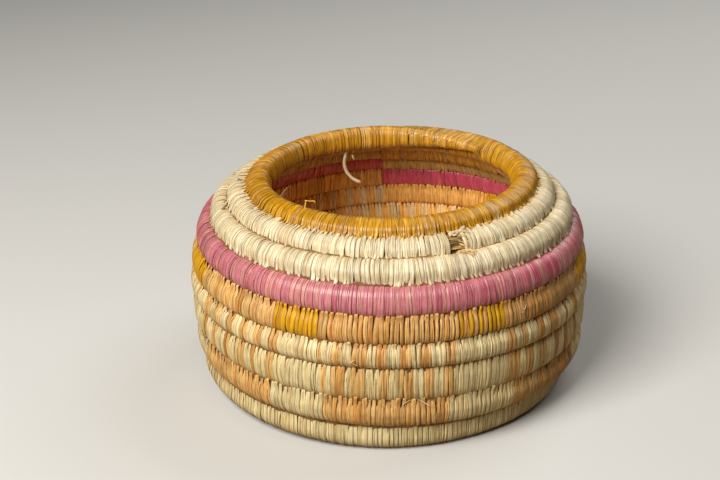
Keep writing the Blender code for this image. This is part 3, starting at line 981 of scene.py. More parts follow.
class BindingRibbons(Ribbons):
    """Ribbons that bind the coil's end onto the turn under it and dive in on its inner side."""

    OVER = 15  # control points over both turns
    OUTLINE = 48  # points of a turn's outline that the strips lie on
    FACINGS = 72  # directions in which the outermost point of both turns is looked for
    LYING_HIGH = 0.45 * MM
    INSIDE_AFTER, INSIDE_OVER = 9, 12  # control points before the colour changes, and while it does
    CLOSING_FROM, CLOSING_OVER = 0.045, 0.05  # where the strips begin to close round the end, turns
    LAST_FACING, LAST_FACING_MORE = -78, -76  # where they dive in: degrees from upright, more at the end
    RAGGED = 3  # how much that differs, radians for each millimetre that one edge is higher
    INTO_SEAM = ((0.5 * MM, 0.8, 0.3), (1.6 * MM, 0.6, 1.0))  # depth, share of the width, painted seam shade

    def __init__(self, route: CoilRoute) -> None:
        """Sets the number of points drawn between the control points.

        Args:
            route: the coil's route.
        """
        super().__init__(route, closed_top=True, fine=False)
        spans = np.ones(len(DIVING_END) + self.OVER + len(self.INTO_SEAM) + 1, dtype=int)
        spans[2 : len(DIVING_END) + self.OVER] = 2
        self.weights = self._weights(spans)

    def controls(self, strips: Strips) -> np.ndarray:
        """All control points of the strips' loops.

        Args:
            strips: the strips.

        Returns:
            Six quantities by point and strip.
        """
        route, below = self.route, replace(strips, t=strips.t - 1)
        ones = np.ones_like(strips.t)
        turns = np.linspace(0, TURN, self.OUTLINE, endpoint=False)
        level = self.LYING_HIGH + strips.lift
        lower = np.array([route.skin(below.t, turn, level) for turn in turns])
        upper = np.array([route.skin(strips.t, turn, level) for turn in turns])
        fading = np.clip((strips.t - route.end) / BINDING_PAST_END, 0, 1)
        home = lower.mean(axis=0)
        outline = np.concatenate((lower, home + (upper - home) * (1 - fading)))
        first = route.tilt(below.t) + route.seams(below.t)[1] - math.radians(BODY_FROM)
        closing = np.clip((strips.t - route.end + self.CLOSING_FROM) / self.CLOSING_OVER, 0, 1)
        last = np.radians(self.LAST_FACING + self.LAST_FACING_MORE * closing)
        last = last + strips.roll / MM * self.RAGGED
        facing = first + (last - first) * np.linspace(0, 1, self.FACINGS)[:, None]
        reach = outline[:, None, 0] * np.sin(facing) + outline[:, None, 1] * np.cos(facing)
        found = np.argmax(reach, axis=0)
        number = np.arange(len(strips))
        over = self._even(np.stack((outline[found, 0, number], outline[found, 1, number])))
        points = []
        for k, lean in enumerate(np.linspace(1, -1, self.OVER)):
            inside = ones * max(0.0, (k - self.INSIDE_AFTER) / self.INSIDE_OVER)
            points.append(np.stack((*over[:, k], ones, strips.slope * lean, ones * 0, inside)))
        inward = np.stack((-np.sin(last), -np.cos(last)))
        for depth, width, seam in self.INTO_SEAM:
            place = over[:, -1] + inward * depth
            points.append(np.stack((*place, ones * width, -strips.slope, ones * seam, ones * 0.5)))
        points.append(np.stack((*home, ones * 0.5, ones * 0, ones, ones * 0.5)))
        return np.concatenate((self._end(below, False, 1), np.array(points)))

    def _even(self, path: np.ndarray) -> np.ndarray:
        """The same paths with their points spread evenly.

        Args:
            path: distances and heights by point and strip.

        Returns:
            OVER points of each.
        """
        steps = np.hypot(*np.diff(path, axis=1)) + 1e-7
        passed = np.concatenate((np.zeros((1, path.shape[2])), np.cumsum(steps, axis=0)))
        shares = np.linspace(0, 1, self.OVER)
        spread = np.empty((2, self.OVER, path.shape[2]))
        for strip in range(path.shape[2]):
            for part in range(2):
                wanted = shares * passed[-1, strip]
                spread[part, :, strip] = np.interp(wanted, passed[:, strip], path[part, :, strip])
        return spread


class KnotRibbons(Ribbons):
    """Ribbons wound over the little knot that the coil starts from."""

    # Where each runs: share of the knot's radius, millimetres off it, height in millimetres, and width
    # as a share of its own
    PROFILE = (
        (0.0, 0.9, 0.5, 1.5), (0.6, 0.0, 0.35, 1.1), (1.0, -0.9, 0.4, 1.0), (1.0, -0.25, 1.5, 1.0),
        (1.0, 0.0, 3.2, 1.0), (1.0, 0.0, 6.0, 1.0), (1.0, -0.3, 7.8, 1.0), (1.0, -1.2, 8.7, 1.0),
        (0.6, 0.0, 9.1, 1.1), (0.25, 0.0, 9.0, 1.3), (0.0, 0.9, 8.4, 1.5), (0.0, 0.8, 4.5, 1.0),
    )  # fmt: skip

    def __init__(self, route: CoilRoute) -> None:
        """Sets the number of points drawn between the control points."""
        super().__init__(route, closed_top=True, fine=False)
        self.weights = self._weights(np.full(len(self.PROFILE), 3))

    def _reference(self, strips: Strips) -> np.ndarray:
        """Radius of the knot at each of the strips given."""
        return KNOT_RADIUS + self.route.start_step * (strips.t - self.route.start)

    def controls(self, strips: Strips) -> np.ndarray:
        """All control points of the strips' loops.

        Args:
            strips: the strips.

        Returns:
            Six quantities by point and strip.
        """
        radius = self._reference(strips) - 0.1 * MM
        ones = np.ones_like(strips.t)
        points = []
        for share, off, height, width in self.PROFILE:
            place = (radius * share + off * MM + strips.lift, ones * height * MM + strips.lift)
            points.append(np.stack((*place, ones * width, ones * 0, ones * 0, ones * 0)))
        return np.array(points)


@dataclass
class Skin:
    """Points, faces and surface values of one mesh.

    Attributes:
        points: its points.
        corners: the points of all faces, one after another.
        starts: where each face begins in corners.
        fibre: place across and along the strip in millimetres, and its seed, by point.
        seam: depth in a seam, by point, which sets its painted shade.
        dye: colour, by point.
        layout: flat layout, by corner.
    """

    CELL_SHAPE = 12  # how many times longer than wide a strip's cell in the flat layout is
    CELL_MARGINS = (0.07, 0.02)

    points: np.ndarray
    corners: np.ndarray
    starts: np.ndarray
    fibre: np.ndarray
    seam: np.ndarray
    dye: np.ndarray
    layout: Optional[np.ndarray] = None

    @classmethod
    def of_loops(
        cls, points: np.ndarray, fibre: np.ndarray, seam: np.ndarray, dye: np.ndarray
    ) -> "Skin":
        """Skin of many closed loops, each a ring of closed cross-sections.

        Args:
            points: places by loop, station and corner of the cross-section.
            fibre: the same for the fibres' coordinates.
            seam: the same for the depth in the seam, which sets the painted shade.
            dye: the same for the colour.

        Returns:
            The skin, with one cell of its flat layout a loop.
        """
        loops, stations, corners = points.shape[:3]
        index = np.arange(loops * stations * corners).reshape(loops, stations, corners)
        along, round_ = np.roll(index, -1, axis=1), np.roll(index, -1, axis=2)
        both = np.roll(along, -1, axis=2)
        faces = np.stack((index, round_, both, along), axis=-1).reshape(-1, 4)
        columns = max(int(math.sqrt(loops * cls.CELL_SHAPE)), 1)
        rows = math.ceil(loops / columns)
        cell = np.arange(loops)
        left, low = (cell % columns) / columns, (cell // columns) / rows
        side, end = cls.CELL_MARGINS
        u = (np.arange(corners + 1) / corners * (1 - 2 * side) + side) / columns
        v = (np.arange(stations + 1) / stations * (1 - 2 * end) + end) / rows
        flat = np.empty((loops, stations, corners, 4, 2))
        for number, (su, sv) in enumerate(((0, 0), (1, 0), (1, 1), (0, 1))):
            flat[:, :, :, number, 0] = left[:, None, None] + u[su : su + corners][None, None, :]
            flat[:, :, :, number, 1] = low[:, None, None] + v[sv : sv + stations][None, :, None]
        return cls(
            points.reshape(-1, 3),
            faces.reshape(-1),
            np.arange(len(faces)) * 4,
            fibre.reshape(-1, 3),
            seam.reshape(-1),
            dye.reshape(-1, 3),
            flat.reshape(-1, 2),
        )

    @classmethod
    def of_tube(cls, rings: np.ndarray, seed: float, dye: np.ndarray, seam: np.ndarray) -> "Skin":
        """Skin of a tube with closed ends.

        Args:
            rings: places by ring and corner.
            seed: number that sets its fibres apart.
            dye: colour by ring and corner, or one colour.
            seam: depth by ring and corner, or one value, which sets the painted shade.

        Returns:
            The skin.
        """
        count, corners = rings.shape[:2]
        index = np.arange(count * corners).reshape(count, corners)
        round_ = np.roll(index, -1, axis=1)
        sides = np.stack((index[:-1], round_[:-1], round_[1:], index[1:]), axis=-1).reshape(-1)
        caps = np.concatenate((index[0][::-1], index[-1]))
        starts = np.append(np.arange((count - 1) * corners) * 4, [len(sides), len(sides) + corners])
        step = np.linalg.norm(np.diff(rings.mean(axis=1), axis=0), axis=1)
        along = np.concatenate(([0.0], np.cumsum(step)))[:, None] / MM
        girth = np.linalg.norm(np.diff(rings[count // 2], axis=0), axis=1).sum() / MM
        across = np.arange(corners)[None, :] / corners * girth
        shape = (count, corners)
        fibre = np.stack((*np.broadcast_arrays(across, along), np.full(shape, seed)), axis=-1)
        colours = np.broadcast_to(dye, (*shape, 3))
        return cls(
            rings.reshape(-1, 3),
            np.concatenate((sides, caps)),
            starts,
            fibre.reshape(-1, 3),
            np.broadcast_to(seam, shape).reshape(-1),
            colours.reshape(-1, 3),
        )

    @staticmethod
    def joined(skins: list["Skin"]) -> "Skin":
        """One skin of several, without their flat layout.

        Args:
            skins: the skins.

        Returns:
            All of them together.
        """
        points, corners, parts = 0, 0, []
        for skin in skins:
            numbers = (skin.corners + points, skin.starts + corners)
            parts.append((skin.points, *numbers, skin.fibre, skin.seam, skin.dye))
            points += len(skin.points)
            corners += len(skin.corners)
        return Skin(*(np.concatenate(part) for part in zip(*parts)))

    def to_object(self, name: str) -> bpy.types.Object:
        """A smooth mesh object of the skin.

        Args:
            name: its name.

        Returns:
            The object, linked to the scene.
        """
        mesh = bpy.data.meshes.new(name)
        mesh.vertices.add(len(self.points))
        mesh.vertices.foreach_set("co", self.points.astype(np.float32).reshape(-1))
        mesh.loops.add(len(self.corners))
        mesh.loops.foreach_set("vertex_index", self.corners.astype(np.int32))
        mesh.polygons.add(len(self.starts))
        mesh.polygons.foreach_set("loop_start", self.starts.astype(np.int32))
        mesh.update(calc_edges=True)
        rgba = np.concatenate((self.dye, np.ones((len(self.dye), 1))), axis=1)
        for value, kind, part, values in (
            ("dye", "FLOAT_COLOR", "color", rgba),
            ("fibre", "FLOAT_VECTOR", "vector", self.fibre),
            ("seam", "FLOAT", "value", self.seam),
        ):
            attribute = mesh.attributes.new(value, kind, "POINT")
            attribute.data.foreach_set(part, values.astype(np.float32).reshape(-1))
        if self.layout is not None:
            layout = mesh.uv_layers.new(name="OFBake")
            layout.data.foreach_set("uv", self.layout.astype(np.float32).reshape(-1))
        mesh.shade_smooth()
        made = bpy.data.objects.new(name, mesh)
        bpy.context.scene.collection.objects.link(made)
        return made


Operand = Union["Wire", float, int, tuple]


class Wire:
    """A node's output, with arithmetic that adds the nodes it needs."""

    def __init__(self, tree: bpy.types.NodeTree, socket: bpy.types.NodeSocket) -> None:
        """Wraps an output socket of a node in the tree."""
        self.tree = tree
        self.socket = socket

    def node(self, kind: str, settings: dict, inputs: dict, output: Union[int, str] = 0) -> "Wire":
        """Adds any other node.

        Args:
            kind: its type.
            settings: its properties, set first.
            inputs: its inputs by name or number.
            output: the output to go on with.

        Returns:
            That output.
        """
        made = self.tree.nodes.new(kind)
        for name, value in settings.items():
            setattr(made, name, value)
        for name, value in inputs.items():
            if isinstance(value, Wire):
                self.tree.links.new(value.socket, made.inputs[name])
            else:
                made.inputs[name].default_value = value
        return Wire(self.tree, made.outputs[output])

    def _of(self, operation: str, first: Operand, second: Operand) -> "Wire":
        """Math, vector or colour node of two operands.

        Args:
            operation: what it does, such as ADD.
            first: the first operand.
            second: the second one.

        Returns:
            The result.
        """
        operands, plain = (first, second), (int, float)
        kinds = {item.socket.type for item in operands if isinstance(item, Wire)}
        if "RGBA" in kinds:
            sides = [(item, item, item, 1.0) if isinstance(item, plain) else item for item in operands]
            settings = {"data_type": "RGBA", "blend_type": operation, "clamp_result": False}
            return self.node("ShaderNodeMix", settings, {0: 1.0, 6: sides[0], 7: sides[1]}, 2)
        if "VECTOR" in kinds:
            sides = [(item, item, item) if isinstance(item, plain) else item for item in operands]
            return self.node("ShaderNodeVectorMath", {"operation": operation}, {0: sides[0], 1: sides[1]})
        return self.node("ShaderNodeMath", {"operation": operation}, {0: first, 1: second})

    def __add__(self, other: Operand) -> "Wire":
        """Sum."""
        return self._of("ADD", self, other)

    def __radd__(self, other: Operand) -> "Wire":
        """Sum, reflected."""
        return self._of("ADD", other, self)

    def __mul__(self, other: Operand) -> "Wire":
        """Product."""
        return self._of("MULTIPLY", self, other)

    def __rmul__(self, other: Operand) -> "Wire":
        """Product, reflected."""
        return self._of("MULTIPLY", other, self)

    def ramp(self, low: float, high: float, to_low: float, to_high: float) -> "Wire":
        """Maps the range from low to high onto the one from to_low to to_high, clamped."""
        inputs = {"Value": self, 1: low, 2: high, 3: to_low, 4: to_high}
        return self.node("ShaderNodeMapRange", {"clamp": True}, inputs)

    def between(self, low: Sequence[float], high: Sequence[float]) -> "Wire":
        """Mixes two colours by this value, from low at 0 to high at 1."""
        inputs = {0: self, 6: (*low, 1.0), 7: (*high, 1.0)}
        return self.node("ShaderNodeMix", {"data_type": "RGBA"}, inputs, 2)


@dataclass(frozen=True)
class FibreFinish:
    """Finish of dyed raffia or of grass: fine streaks along it, blotches, and painted shade in its seams.

    Attributes:
        name: the material's name.
        slot: the slot that it stands for; not used.
        roughness: roughness between the streaks' own.
        gloss: strength of the plain reflection.
        coat: strength of the waxy reflection over it.
        streak: how dark the streaks are.
        blotch: how strong the blotches are.
        relief: how deep the streaks are.
        seam_tint: painted shade, what the colour is multiplied by in a seam.
    """

    name: str
    slot: str
    roughness: float
    gloss: float
    coat: float
    streak: float
    blotch: float
    relief: float
    seam_tint: tuple[float, float, float]

    # Noise along a strip: changes per millimetre across it and along it, and from strip to strip
    COARSE = (1.9, 0.07, 61.0)
    FINE = (3.4, 0.12, 97.0)
    CLOUD = (0.35, 0.30, 31.0)
    COARSE_SHARE = 0.55
    # Which part of the noise counts, from none to full, for blotches, streaks and roughness
    CLOUD_RANGE = (0.35, 0.7)
    STREAK_RANGE = (0.38, 0.60)
    ROUGH_RANGE = (0.3, 0.7)
    ROUGHER, SMOOTHER = 0.12, 0.08
    CLOUD_LIGHTER, STREAK_LIGHTER = 0.4, 0.45  # how much they lighten the rest, as shares of themselves
    WHITE = (1.0, 1.0, 1.0)
    RELIEF_DEPTH = 0.25 * MM
    COAT_ROUGHNESS = 0.28

    def material(self) -> bpy.types.Material:
        """The finish's material, made once.

        Returns:
            The material.
        """
        made = bpy.data.materials.get(self.name)
        if made:
            return made
        made = bpy.data.materials.new(self.name)
        made.use_nodes = True
        tree = made.node_tree
        shader = tree.nodes["Principled BSDF"]
        start = Wire(tree, shader.outputs[0])
        fibre = start.node("ShaderNodeAttribute", {"attribute_name": "fibre"}, {}, "Vector")
        seam = start.node("ShaderNodeAttribute", {"attribute_name": "seam"}, {}, "Fac")
        dye = start.node("ShaderNodeAttribute", {"attribute_name": "dye"}, {}, "Color")
        coarse, fine = self._noise(fibre * self.COARSE, 1.0), self._noise(fibre * self.FINE, 1.0)
        streaks = coarse * self.COARSE_SHARE + fine * (1 - self.COARSE_SHARE)
        lightest = 1 + self.blotch * self.CLOUD_LIGHTER
        clouds = self._noise(fibre * self.CLOUD, 2.0).ramp(*self.CLOUD_RANGE, lightest, 1 - self.blotch)
        light = 1 + self.streak * self.STREAK_LIGHTER
        green = self.seam_tint[1]
        warm = [math.sqrt(value / green) * (1 - self.streak) / light for value in self.seam_tint]
        streaked = streaks.ramp(*self.STREAK_RANGE, 1.0, 0.0).between(self.WHITE, warm)
        # Painted shade: the colour is darkened and warmed in the seams and at the strips' edges.
        lit = dye * seam.between(self.WHITE, self.seam_tint) * streaked * (clouds * light)
        ends = (self.roughness + self.ROUGHER, self.roughness - self.SMOOTHER)
        roughness = streaks.ramp(*self.ROUGH_RANGE, *ends)
        bump = {"Strength": self.relief, "Distance": self.RELIEF_DEPTH, "Height": streaks}
        relief = start.node("ShaderNodeBump", {}, bump, "Normal")
        for name, wire in (("Base Color", lit), ("Roughness", roughness), ("Normal", relief)):
            tree.links.new(wire.socket, shader.inputs[name])
        shader.inputs["Specular IOR Level"].default_value = self.gloss
        shader.inputs["Coat Weight"].default_value = self.coat
        shader.inputs["Coat Roughness"].default_value = self.COAT_ROUGHNESS
        return made

    @staticmethod
    def _noise(place: Wire, detail: float) -> Wire:
        """Smooth noise round a half at a place, with more or less fine detail."""
        return place.node("ShaderNodeTexNoise", {}, {"Vector": place, "Scale": 1.0, "Detail": detail}, 0)


CREAM_FINISH = FibreFinish(
    "cream_strips", "cream_raffia", roughness=0.46, gloss=0.5, coat=0.18,
    streak=0.38, blotch=0.12, relief=1.0, seam_tint=(0.62, 0.44, 0.24),
)  # fmt: skip
PEACH_FINISH = FibreFinish(
    "peach_strips", "peach_raffia", roughness=0.48, gloss=0.42, coat=0.10,
    streak=0.44, blotch=0.16, relief=1.0, seam_tint=(0.55, 0.34, 0.20),
)  # fmt: skip
OCHRE_FINISH = FibreFinish(
    "ochre_strips", "ochre_raffia", roughness=0.35, gloss=0.5, coat=0.30,
    streak=0.44, blotch=0.20, relief=1.0, seam_tint=(0.56, 0.32, 0.15),
)  # fmt: skip
MAGENTA_FINISH = FibreFinish(
    "magenta_strips", "magenta_raffia", roughness=0.34, gloss=0.5, coat=0.34,
    streak=0.40, blotch=0.16, relief=1.0, seam_tint=(0.55, 0.25, 0.25),
)  # fmt: skip
GOLD_FINISH = FibreFinish(
    "gold_strips", "ochre_raffia", roughness=0.42, gloss=0.42, coat=0.1,
    streak=0.38, blotch=0.12, relief=0.9, seam_tint=(0.50, 0.28, 0.2),
)  # fmt: skip
GRASS_FINISH = FibreFinish(
    "grass_stems", "grass", roughness=0.75, gloss=0.3, coat=0.0,
    streak=0.4, blotch=0.3, relief=0.8, seam_tint=(0.4, 0.3, 0.2),
)  # fmt: skip


def stand_in(made: bpy.types.Object, finish: FibreFinish, *nodes: str) -> None:
    """Dresses a piece, fixes it to the basket and lets it stand for CAD nodes.

    Args:
        made: the piece.
        finish: its finish.
        nodes: the nodes that it replaces.
    """
    made.data.materials.append(finish.material())
    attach(made, "root")
    if nodes:
        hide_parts(*nodes)
    LOG.info("%s: %d faces", made.name, len(made.data.polygons))


@dataclass
class StitchedSleeve:
    """The stitches of one stretch of the coil, standing for its sleeve.

    Attributes:
        node: the sleeve's node.
        first: where the stretch begins.
        last: where it ends.
        finish: the strips' finish.
        closed_top: whether they go over the top, with no turn above.
        fine: whether their loops get their full number of points.
    """

    node: str
    first: float
    last: float
    finish: FibreFinish
    closed_top: bool = False
    fine: bool = True
    made: Optional[bpy.types.Object] = None

    def build(self, route: CoilRoute, strips: Strips) -> None:
        """Makes the stitches.

        Args:
            route: the coil's route.
            strips: every strip of the basket.
        """
        here = strips.between(self.first, self.last)
        skin = Ribbons(route, self.closed_top, self.fine).build(here)
        self.made = skin.to_object(self.node + "_stitches")

    def dress(self) -> None:
        """Gives them their finish, fixes them to the basket and hides the sleeve."""
        stand_in(self.made, self.finish, self.node)


@dataclass
class GrassBundle:
    """The bundle of grass under the stitches, seen between them and at the splice."""

    stems: int = 18
    step: float = 4.0 * MM
    widest_step: float = 0.02  # turns
    squareness: float = 4.0
    under: float = 0.8 * MM  # how deep it lies under the section
    rib: float = 0.3 * MM
    bare: float = 2.6  # half the opening at the splice, degrees
    hollow: float = 2.6 * MM
    hollow_width: float = 2.2  # degrees
    made: Optional[bpy.types.Object] = None

    FROM_START, FROM_END, SHORTEST = 0.01, 0.004, 0.002  # turns that it stops short of the coil's ends
    LEAST_SIZE = 0.2  # added to its taper, as a share of the full size
    HOLLOW_FACES = (0.6, 0.8)  # outward and down
    SEED, BAND_SEED = 0.37, 0.71

    # The band of strips between the turns: places in a turn, where it stands on both sections, its depths
    # at its two faces, how deep it goes at the splice, how rough it is, and how dark its strips are painted,
    # at random, as shade in the gap between the turns
    BAND_PLACES = 420
    BAND_AT = math.radians(52)
    BAND_DEPTHS = (0.7 * MM, 2.0 * MM)
    BAND_SHARES = (0.0, 0.33, 0.67, 1.0)
    BAND_HOLLOW = 3.6 * MM
    BAND_HOLLOW_WIDTH = 4.0
    BAND_ROUGHNESS = 0.12 * MM
    BAND_SHADES = (0.4, 0.85)
    BAND_CHANCE = 5

    def build(self, route: CoilRoute) -> None:
        """Makes the bundle as one long ribbed tube, with the band of strips between its turns.

        Args:
            route: the coil's route.
        """
        t = [route.start + self.FROM_START]
        while t[-1] < route.end - self.FROM_END:
            radius = float(np.interp(t[-1], route.grid, route.radius))
            t.append(t[-1] + min(self.step / (TURN * radius), self.widest_step))
        t = np.minimum(np.array(t), route.end - self.SHORTEST)
        away = (t - route.turn_at(NECK, SPLICE_ANGLE)) * 360
        narrowed = np.minimum(1, route.taper(t) + self.LEAST_SIZE)
        outward, down = self.HOLLOW_FACES
        corners = self.stems * 2
        rings = []
        for number, angle in enumerate(-np.arange(corners) / corners * TURN):
            rib = 0.0 if number % 2 else self.rib
            below = max(0.0, math.sin(angle) * outward - math.cos(angle) * down)
            proud = -(self.under + rib) * narrowed - self.hollow * below * bell(away, self.hollow_width)
            radius, height = route.skin(t, np.full_like(t, angle), proud, self.squareness)
            rings.append(round_basket(radius, height, -TURN * t))
        colours = self._backing(t)
        colours[np.abs(away) < self.bare] = BARE_GRASS
        dye = colours[:, None, :] * np.ones((1, corners, 1))
        tube = Skin.of_tube(np.array(rings).transpose(1, 0, 2), self.SEED, dye, 0.0)
        self.made = Skin.joined([tube, self._between(route)]).to_object("grass_bundle")

    @staticmethod
    def _backing(t: np.ndarray) -> np.ndarray:
        """Colours under the strips at places along the coil."""
        return np.array([np.interp(t, np.arange(len(BACKING)), part) for part in zip(*BACKING)]).T

    def _between(self, route: CoilRoute) -> Skin:
        """The strips where they pass between the turns, as one band behind the ends of the stitches.

        Args:
            route: the coil's route.

        Returns:
            The band.
        """
        chance = np.random.default_rng(self.BAND_CHANCE)
        t = np.arange(-0.5, RIM - 0.5, 1 / self.BAND_PLACES)
        splices = [route.turn_at(course, SPLICE_ANGLE) for course in (NECK - 1, NECK)]
        hollow = sum(bell((t - place) * 360, self.BAND_HOLLOW_WIDTH) for place in splices)
        rings = []
        for deep, shares in zip(self.BAND_DEPTHS, (self.BAND_SHARES, self.BAND_SHARES[::-1])):
            proud = -deep - self.BAND_HOLLOW * hollow - self.BAND_ROUGHNESS * chance.random(len(t))
            own = route.skin(t, route.seams(t)[0] + self.BAND_AT, proud)
            other = route.skin(t + 1, route.seams(t + 1)[1] - self.BAND_AT, proud)
            rings += [round_basket(*(own + (other - own) * share), -TURN * t) for share in shares]
        # Painted shade: the band's strips are darkened at random, as the shade in the gap between the turns.
        shade = chance.uniform(*self.BAND_SHADES, (len(t), 1, 1))
        dye = self._backing(t + 0.5)[:, None, :] * shade * np.ones((1, len(rings), 1))
        return Skin.of_tube(np.array(rings).transpose(1, 0, 2), self.BAND_SEED, dye, 0.0)

    def dress(self) -> None:
        """Gives it its finish, fixes it to the basket and hides the CAD grass core."""
        stand_in(self.made, GRASS_FINISH, "grass_core")


@dataclass
class RimBinding:
    """The last stitches, which bind the coil's end onto the rim."""

    made: Optional[bpy.types.Object] = None

    def build(self, route: CoilRoute, strips: Strips) -> None:
        """Makes the stitches, the last ones of the basket's strips."""
        last = strips.between(BINDING_FROM, route.end + BINDING_PAST_END)
        self.made = BindingRibbons(route).build(last).to_object("rim_end_binding")

    def dress(self) -> None:
        """Gives them their finish."""
        stand_in(self.made, OCHRE_FINISH)


@dataclass
class StartKnot:
    """The little wound knot in the middle of the base."""

    strips: int = 13
    overlap: float = 1.15
    shades: float = 0.07
    crown: float = 0.25 * MM
    squareness: float = 3.0
    lap: float = 0.08 * MM
    lift: float = 0.08 * MM
    ridge: float = 0.05 * MM
    seed: int = 3
    made: Optional[bpy.types.Object] = None

    def build(self, route: CoilRoute) -> None:
        """Makes the knot's strips.

        Args:
            route: the coil's route.
        """
        chance, count = np.random.default_rng(self.seed), self.strips
        t = route.start + (np.arange(count) + 0.5) / count
        girth = KNOT_RADIUS + route.start_step * (t - route.start)
        ones, none = np.ones(count), np.zeros(count)
        usual, _, _, inside = Dye.CREAM.value
        wound = Strips(
            dye=np.array(usual) * (1 + self.shades * chance.normal(size=(count, 1))),
            inner=np.array(inside) * (1 + self.shades * chance.normal(size=(count, 1))),
            lift=chance.normal(size=count) * self.lift,
            ridge=chance.normal(size=(count, 4)) * self.ridge,
            seed=chance.random(count),
            t=t,
            half_width=math.pi / count * girth * self.overlap,
            end_width=ones,
            crown=ones * self.crown,
            squareness=ones * self.squareness,
            roll=ones * self.lap,
            **dict.fromkeys(("tooth", "foot", "tip_shift", "foot_shift", "slope"), none),
        )
        self.made = KnotRibbons(route).build(wound).to_object("start_knot_strips")

    def dress(self) -> None:
        """Gives it its finish, fixes it to the basket and hides the CAD knot."""
        stand_in(self.made, CREAM_FINISH, "start_knot")


@dataclass(frozen=True)
class Fibre:
    """A loose strip, stem or fibre: a smooth flat or round thread through a few points.

    Attributes:
        points: the points, in metres.
        half_width: half its width, in metres.
        half_thickness: half its thickness, in metres.
        colour: its colour.
        facing: direction that its flat side faces.
        stations: cross-sections along it.
        corners: corners of each.
        tip: size of its ends, as a share of the middle's.
    """

    points: Sequence[Sequence[float]]
    half_width: float
    half_thickness: float
    colour: tuple[float, float, float]
    facing: tuple[float, float, float] = (0.0, -0.6, 0.8)
    stations: int = 14
    corners: int = 8
    tip: float = 0.35

    def skin(self, seed: float) -> Skin:
        """Skin of the thread.

        Args:
            seed: number that sets its streaks apart.

        Returns:
            The skin.
        """
        given = np.array(self.points)
        steps = np.linalg.norm(np.diff(given, axis=0), axis=1)
        passed = np.concatenate(([0.0], np.cumsum(steps)))
        wanted = np.linspace(0, passed[-1], self.stations)
        straight = np.stack([np.interp(wanted, passed, given[:, k]) for k in range(3)], axis=1)
        path = straight.copy()
        for _ in range(3):
            path[1:-1] = (path[:-2] + 2 * path[1:-1] + path[2:]) / 4
        along = np.gradient(path, axis=0)
        along /= np.linalg.norm(along, axis=1)[:, None]
        side = np.cross(along, np.array(self.facing))
        side /= np.maximum(np.linalg.norm(side, axis=1)[:, None], 1e-9)
        up = np.cross(side, along)
        share = np.linspace(0, 1, self.stations)
        size = np.minimum(1, self.tip + np.minimum(share, 1 - share) * 5)[:, None, None]
        angle = np.arange(self.corners) / self.corners * TURN
        across = np.cos(angle)[None, :, None] * side[:, None, :] * self.half_width
        thick = np.sin(angle)[None, :, None] * up[:, None, :] * self.half_thickness
        rings = path[:, None, :] + (across + thick) * size
        return Skin.of_tube(rings, seed, np.array(self.colour), 0.0)


# Runs of the stray fibres: course, degrees round the basket, degrees round the section and height over
# it in millimetres; then half their width in millimetres and their colour
STRAYS = (
    (((6, -83.0, 45, 0.3), (6, -81.5, 42, 0.6), (6, -80.0, 36, 0.5)), 0.32, (0.26, 0.17, 0.05)),
    (((6, -80.0, 36, 0.5), (6, -77.0, 51, 0.8), (6, -75.5, 63, 0.5)), 0.3, (0.30, 0.20, 0.06)),
    (((6, -75.5, 63, 0.4), (6, -75.0, 57, 0.7), (6, -75.5, 45, 0.5)), 0.3, (0.26, 0.17, 0.05)),
    (((7, -92.5, 72, 0.3), (7, -91.0, 60, 0.9), (7, -89.5, 56, 0.6)), 0.3, (0.28, 0.18, 0.05)),
    (((1, 1.5, 45, 2.0), (1, 2.0, 39, 2.5), (1, 3.0, 36, 2.9), (1, 4.5, 30, 3.2), (1, 5.0, 27, 3.2)),
     0.2, (0.86, 0.74, 0.48)),
    (((1, 5.0, 27, 3.2), (1, 6.5, 33, 3.0), (1, 7.5, 39, 2.6), (1, 8.5, 45, 2.2), (1, 9.5, 48, 1.8)),
     0.2, (0.86, 0.74, 0.48)),
    (((3, -11.2, 112, 0.4), (3, -11.6, 100, 1.6), (3, -10.6, 88, 1.4)), 0.3, (0.70, 0.50, 0.22)),
    (((3, -11.9, 92, 0.5), (3, -10.9, 100, 1.6), (3, -9.6, 110, 1.2)), 0.24, (0.66, 0.44, 0.18)),
    (((4, 38.0, 62, 0.4), (4, 37.8, 72, 0.9), (4, 37.0, 80, 0.9)), 0.22, (0.62, 0.45, 0.22)),
    (((4, 36.2, 84, 0.8), (4, 36.9, 86, 1.1), (4, 37.0, 96, 0.6)), 0.26, (0.66, 0.50, 0.26)),
)  # fmt: skip
# Fibres that stand free of the coil, by places in millimetres
FREE = (
    (((-40.3, -50.9, 106.8), (-40.0, -50.5, 108.2), (-39.5, -49.6, 110.8)), 0.3, (0.74, 0.42, 0.03)),
    (((-39.5, -49.5, 111.1), (-37.3, -49.5, 110.9), (-35.2, -49.5, 110.8)), 0.26, (0.80, 0.48, 0.03)),
    (((-35.9, -49.5, 110.9), (-35.2, -49.5, 110.7), (-35.1, -49.5, 109.9)), 0.4, (0.80, 0.50, 0.06)),
    (((-39.9, -49.5, 111.1), (-39.4, -49.5, 111.2), (-38.7, -49.5, 111.0)), 0.4, (0.80, 0.50, 0.06)),
    (((-35.1, -49.5, 110.2), (-35.0, -49.4, 108.2), (-35.8, -49.6, 105.9)), 0.16, (0.40, 0.20, 0.03)),
    (((-53.4, -33.9, 106.6), (-50.8, -31.4, 109.3), (-48.0, -31.0, 111.9)), 0.12, (0.55, 0.36, 0.16)),
    (((-52.4, -32.5, 106.6), (-50.4, -29.0, 107.2), (-47.0, -26.0, 106.0)), 0.09, (0.50, 0.33, 0.14)),
)
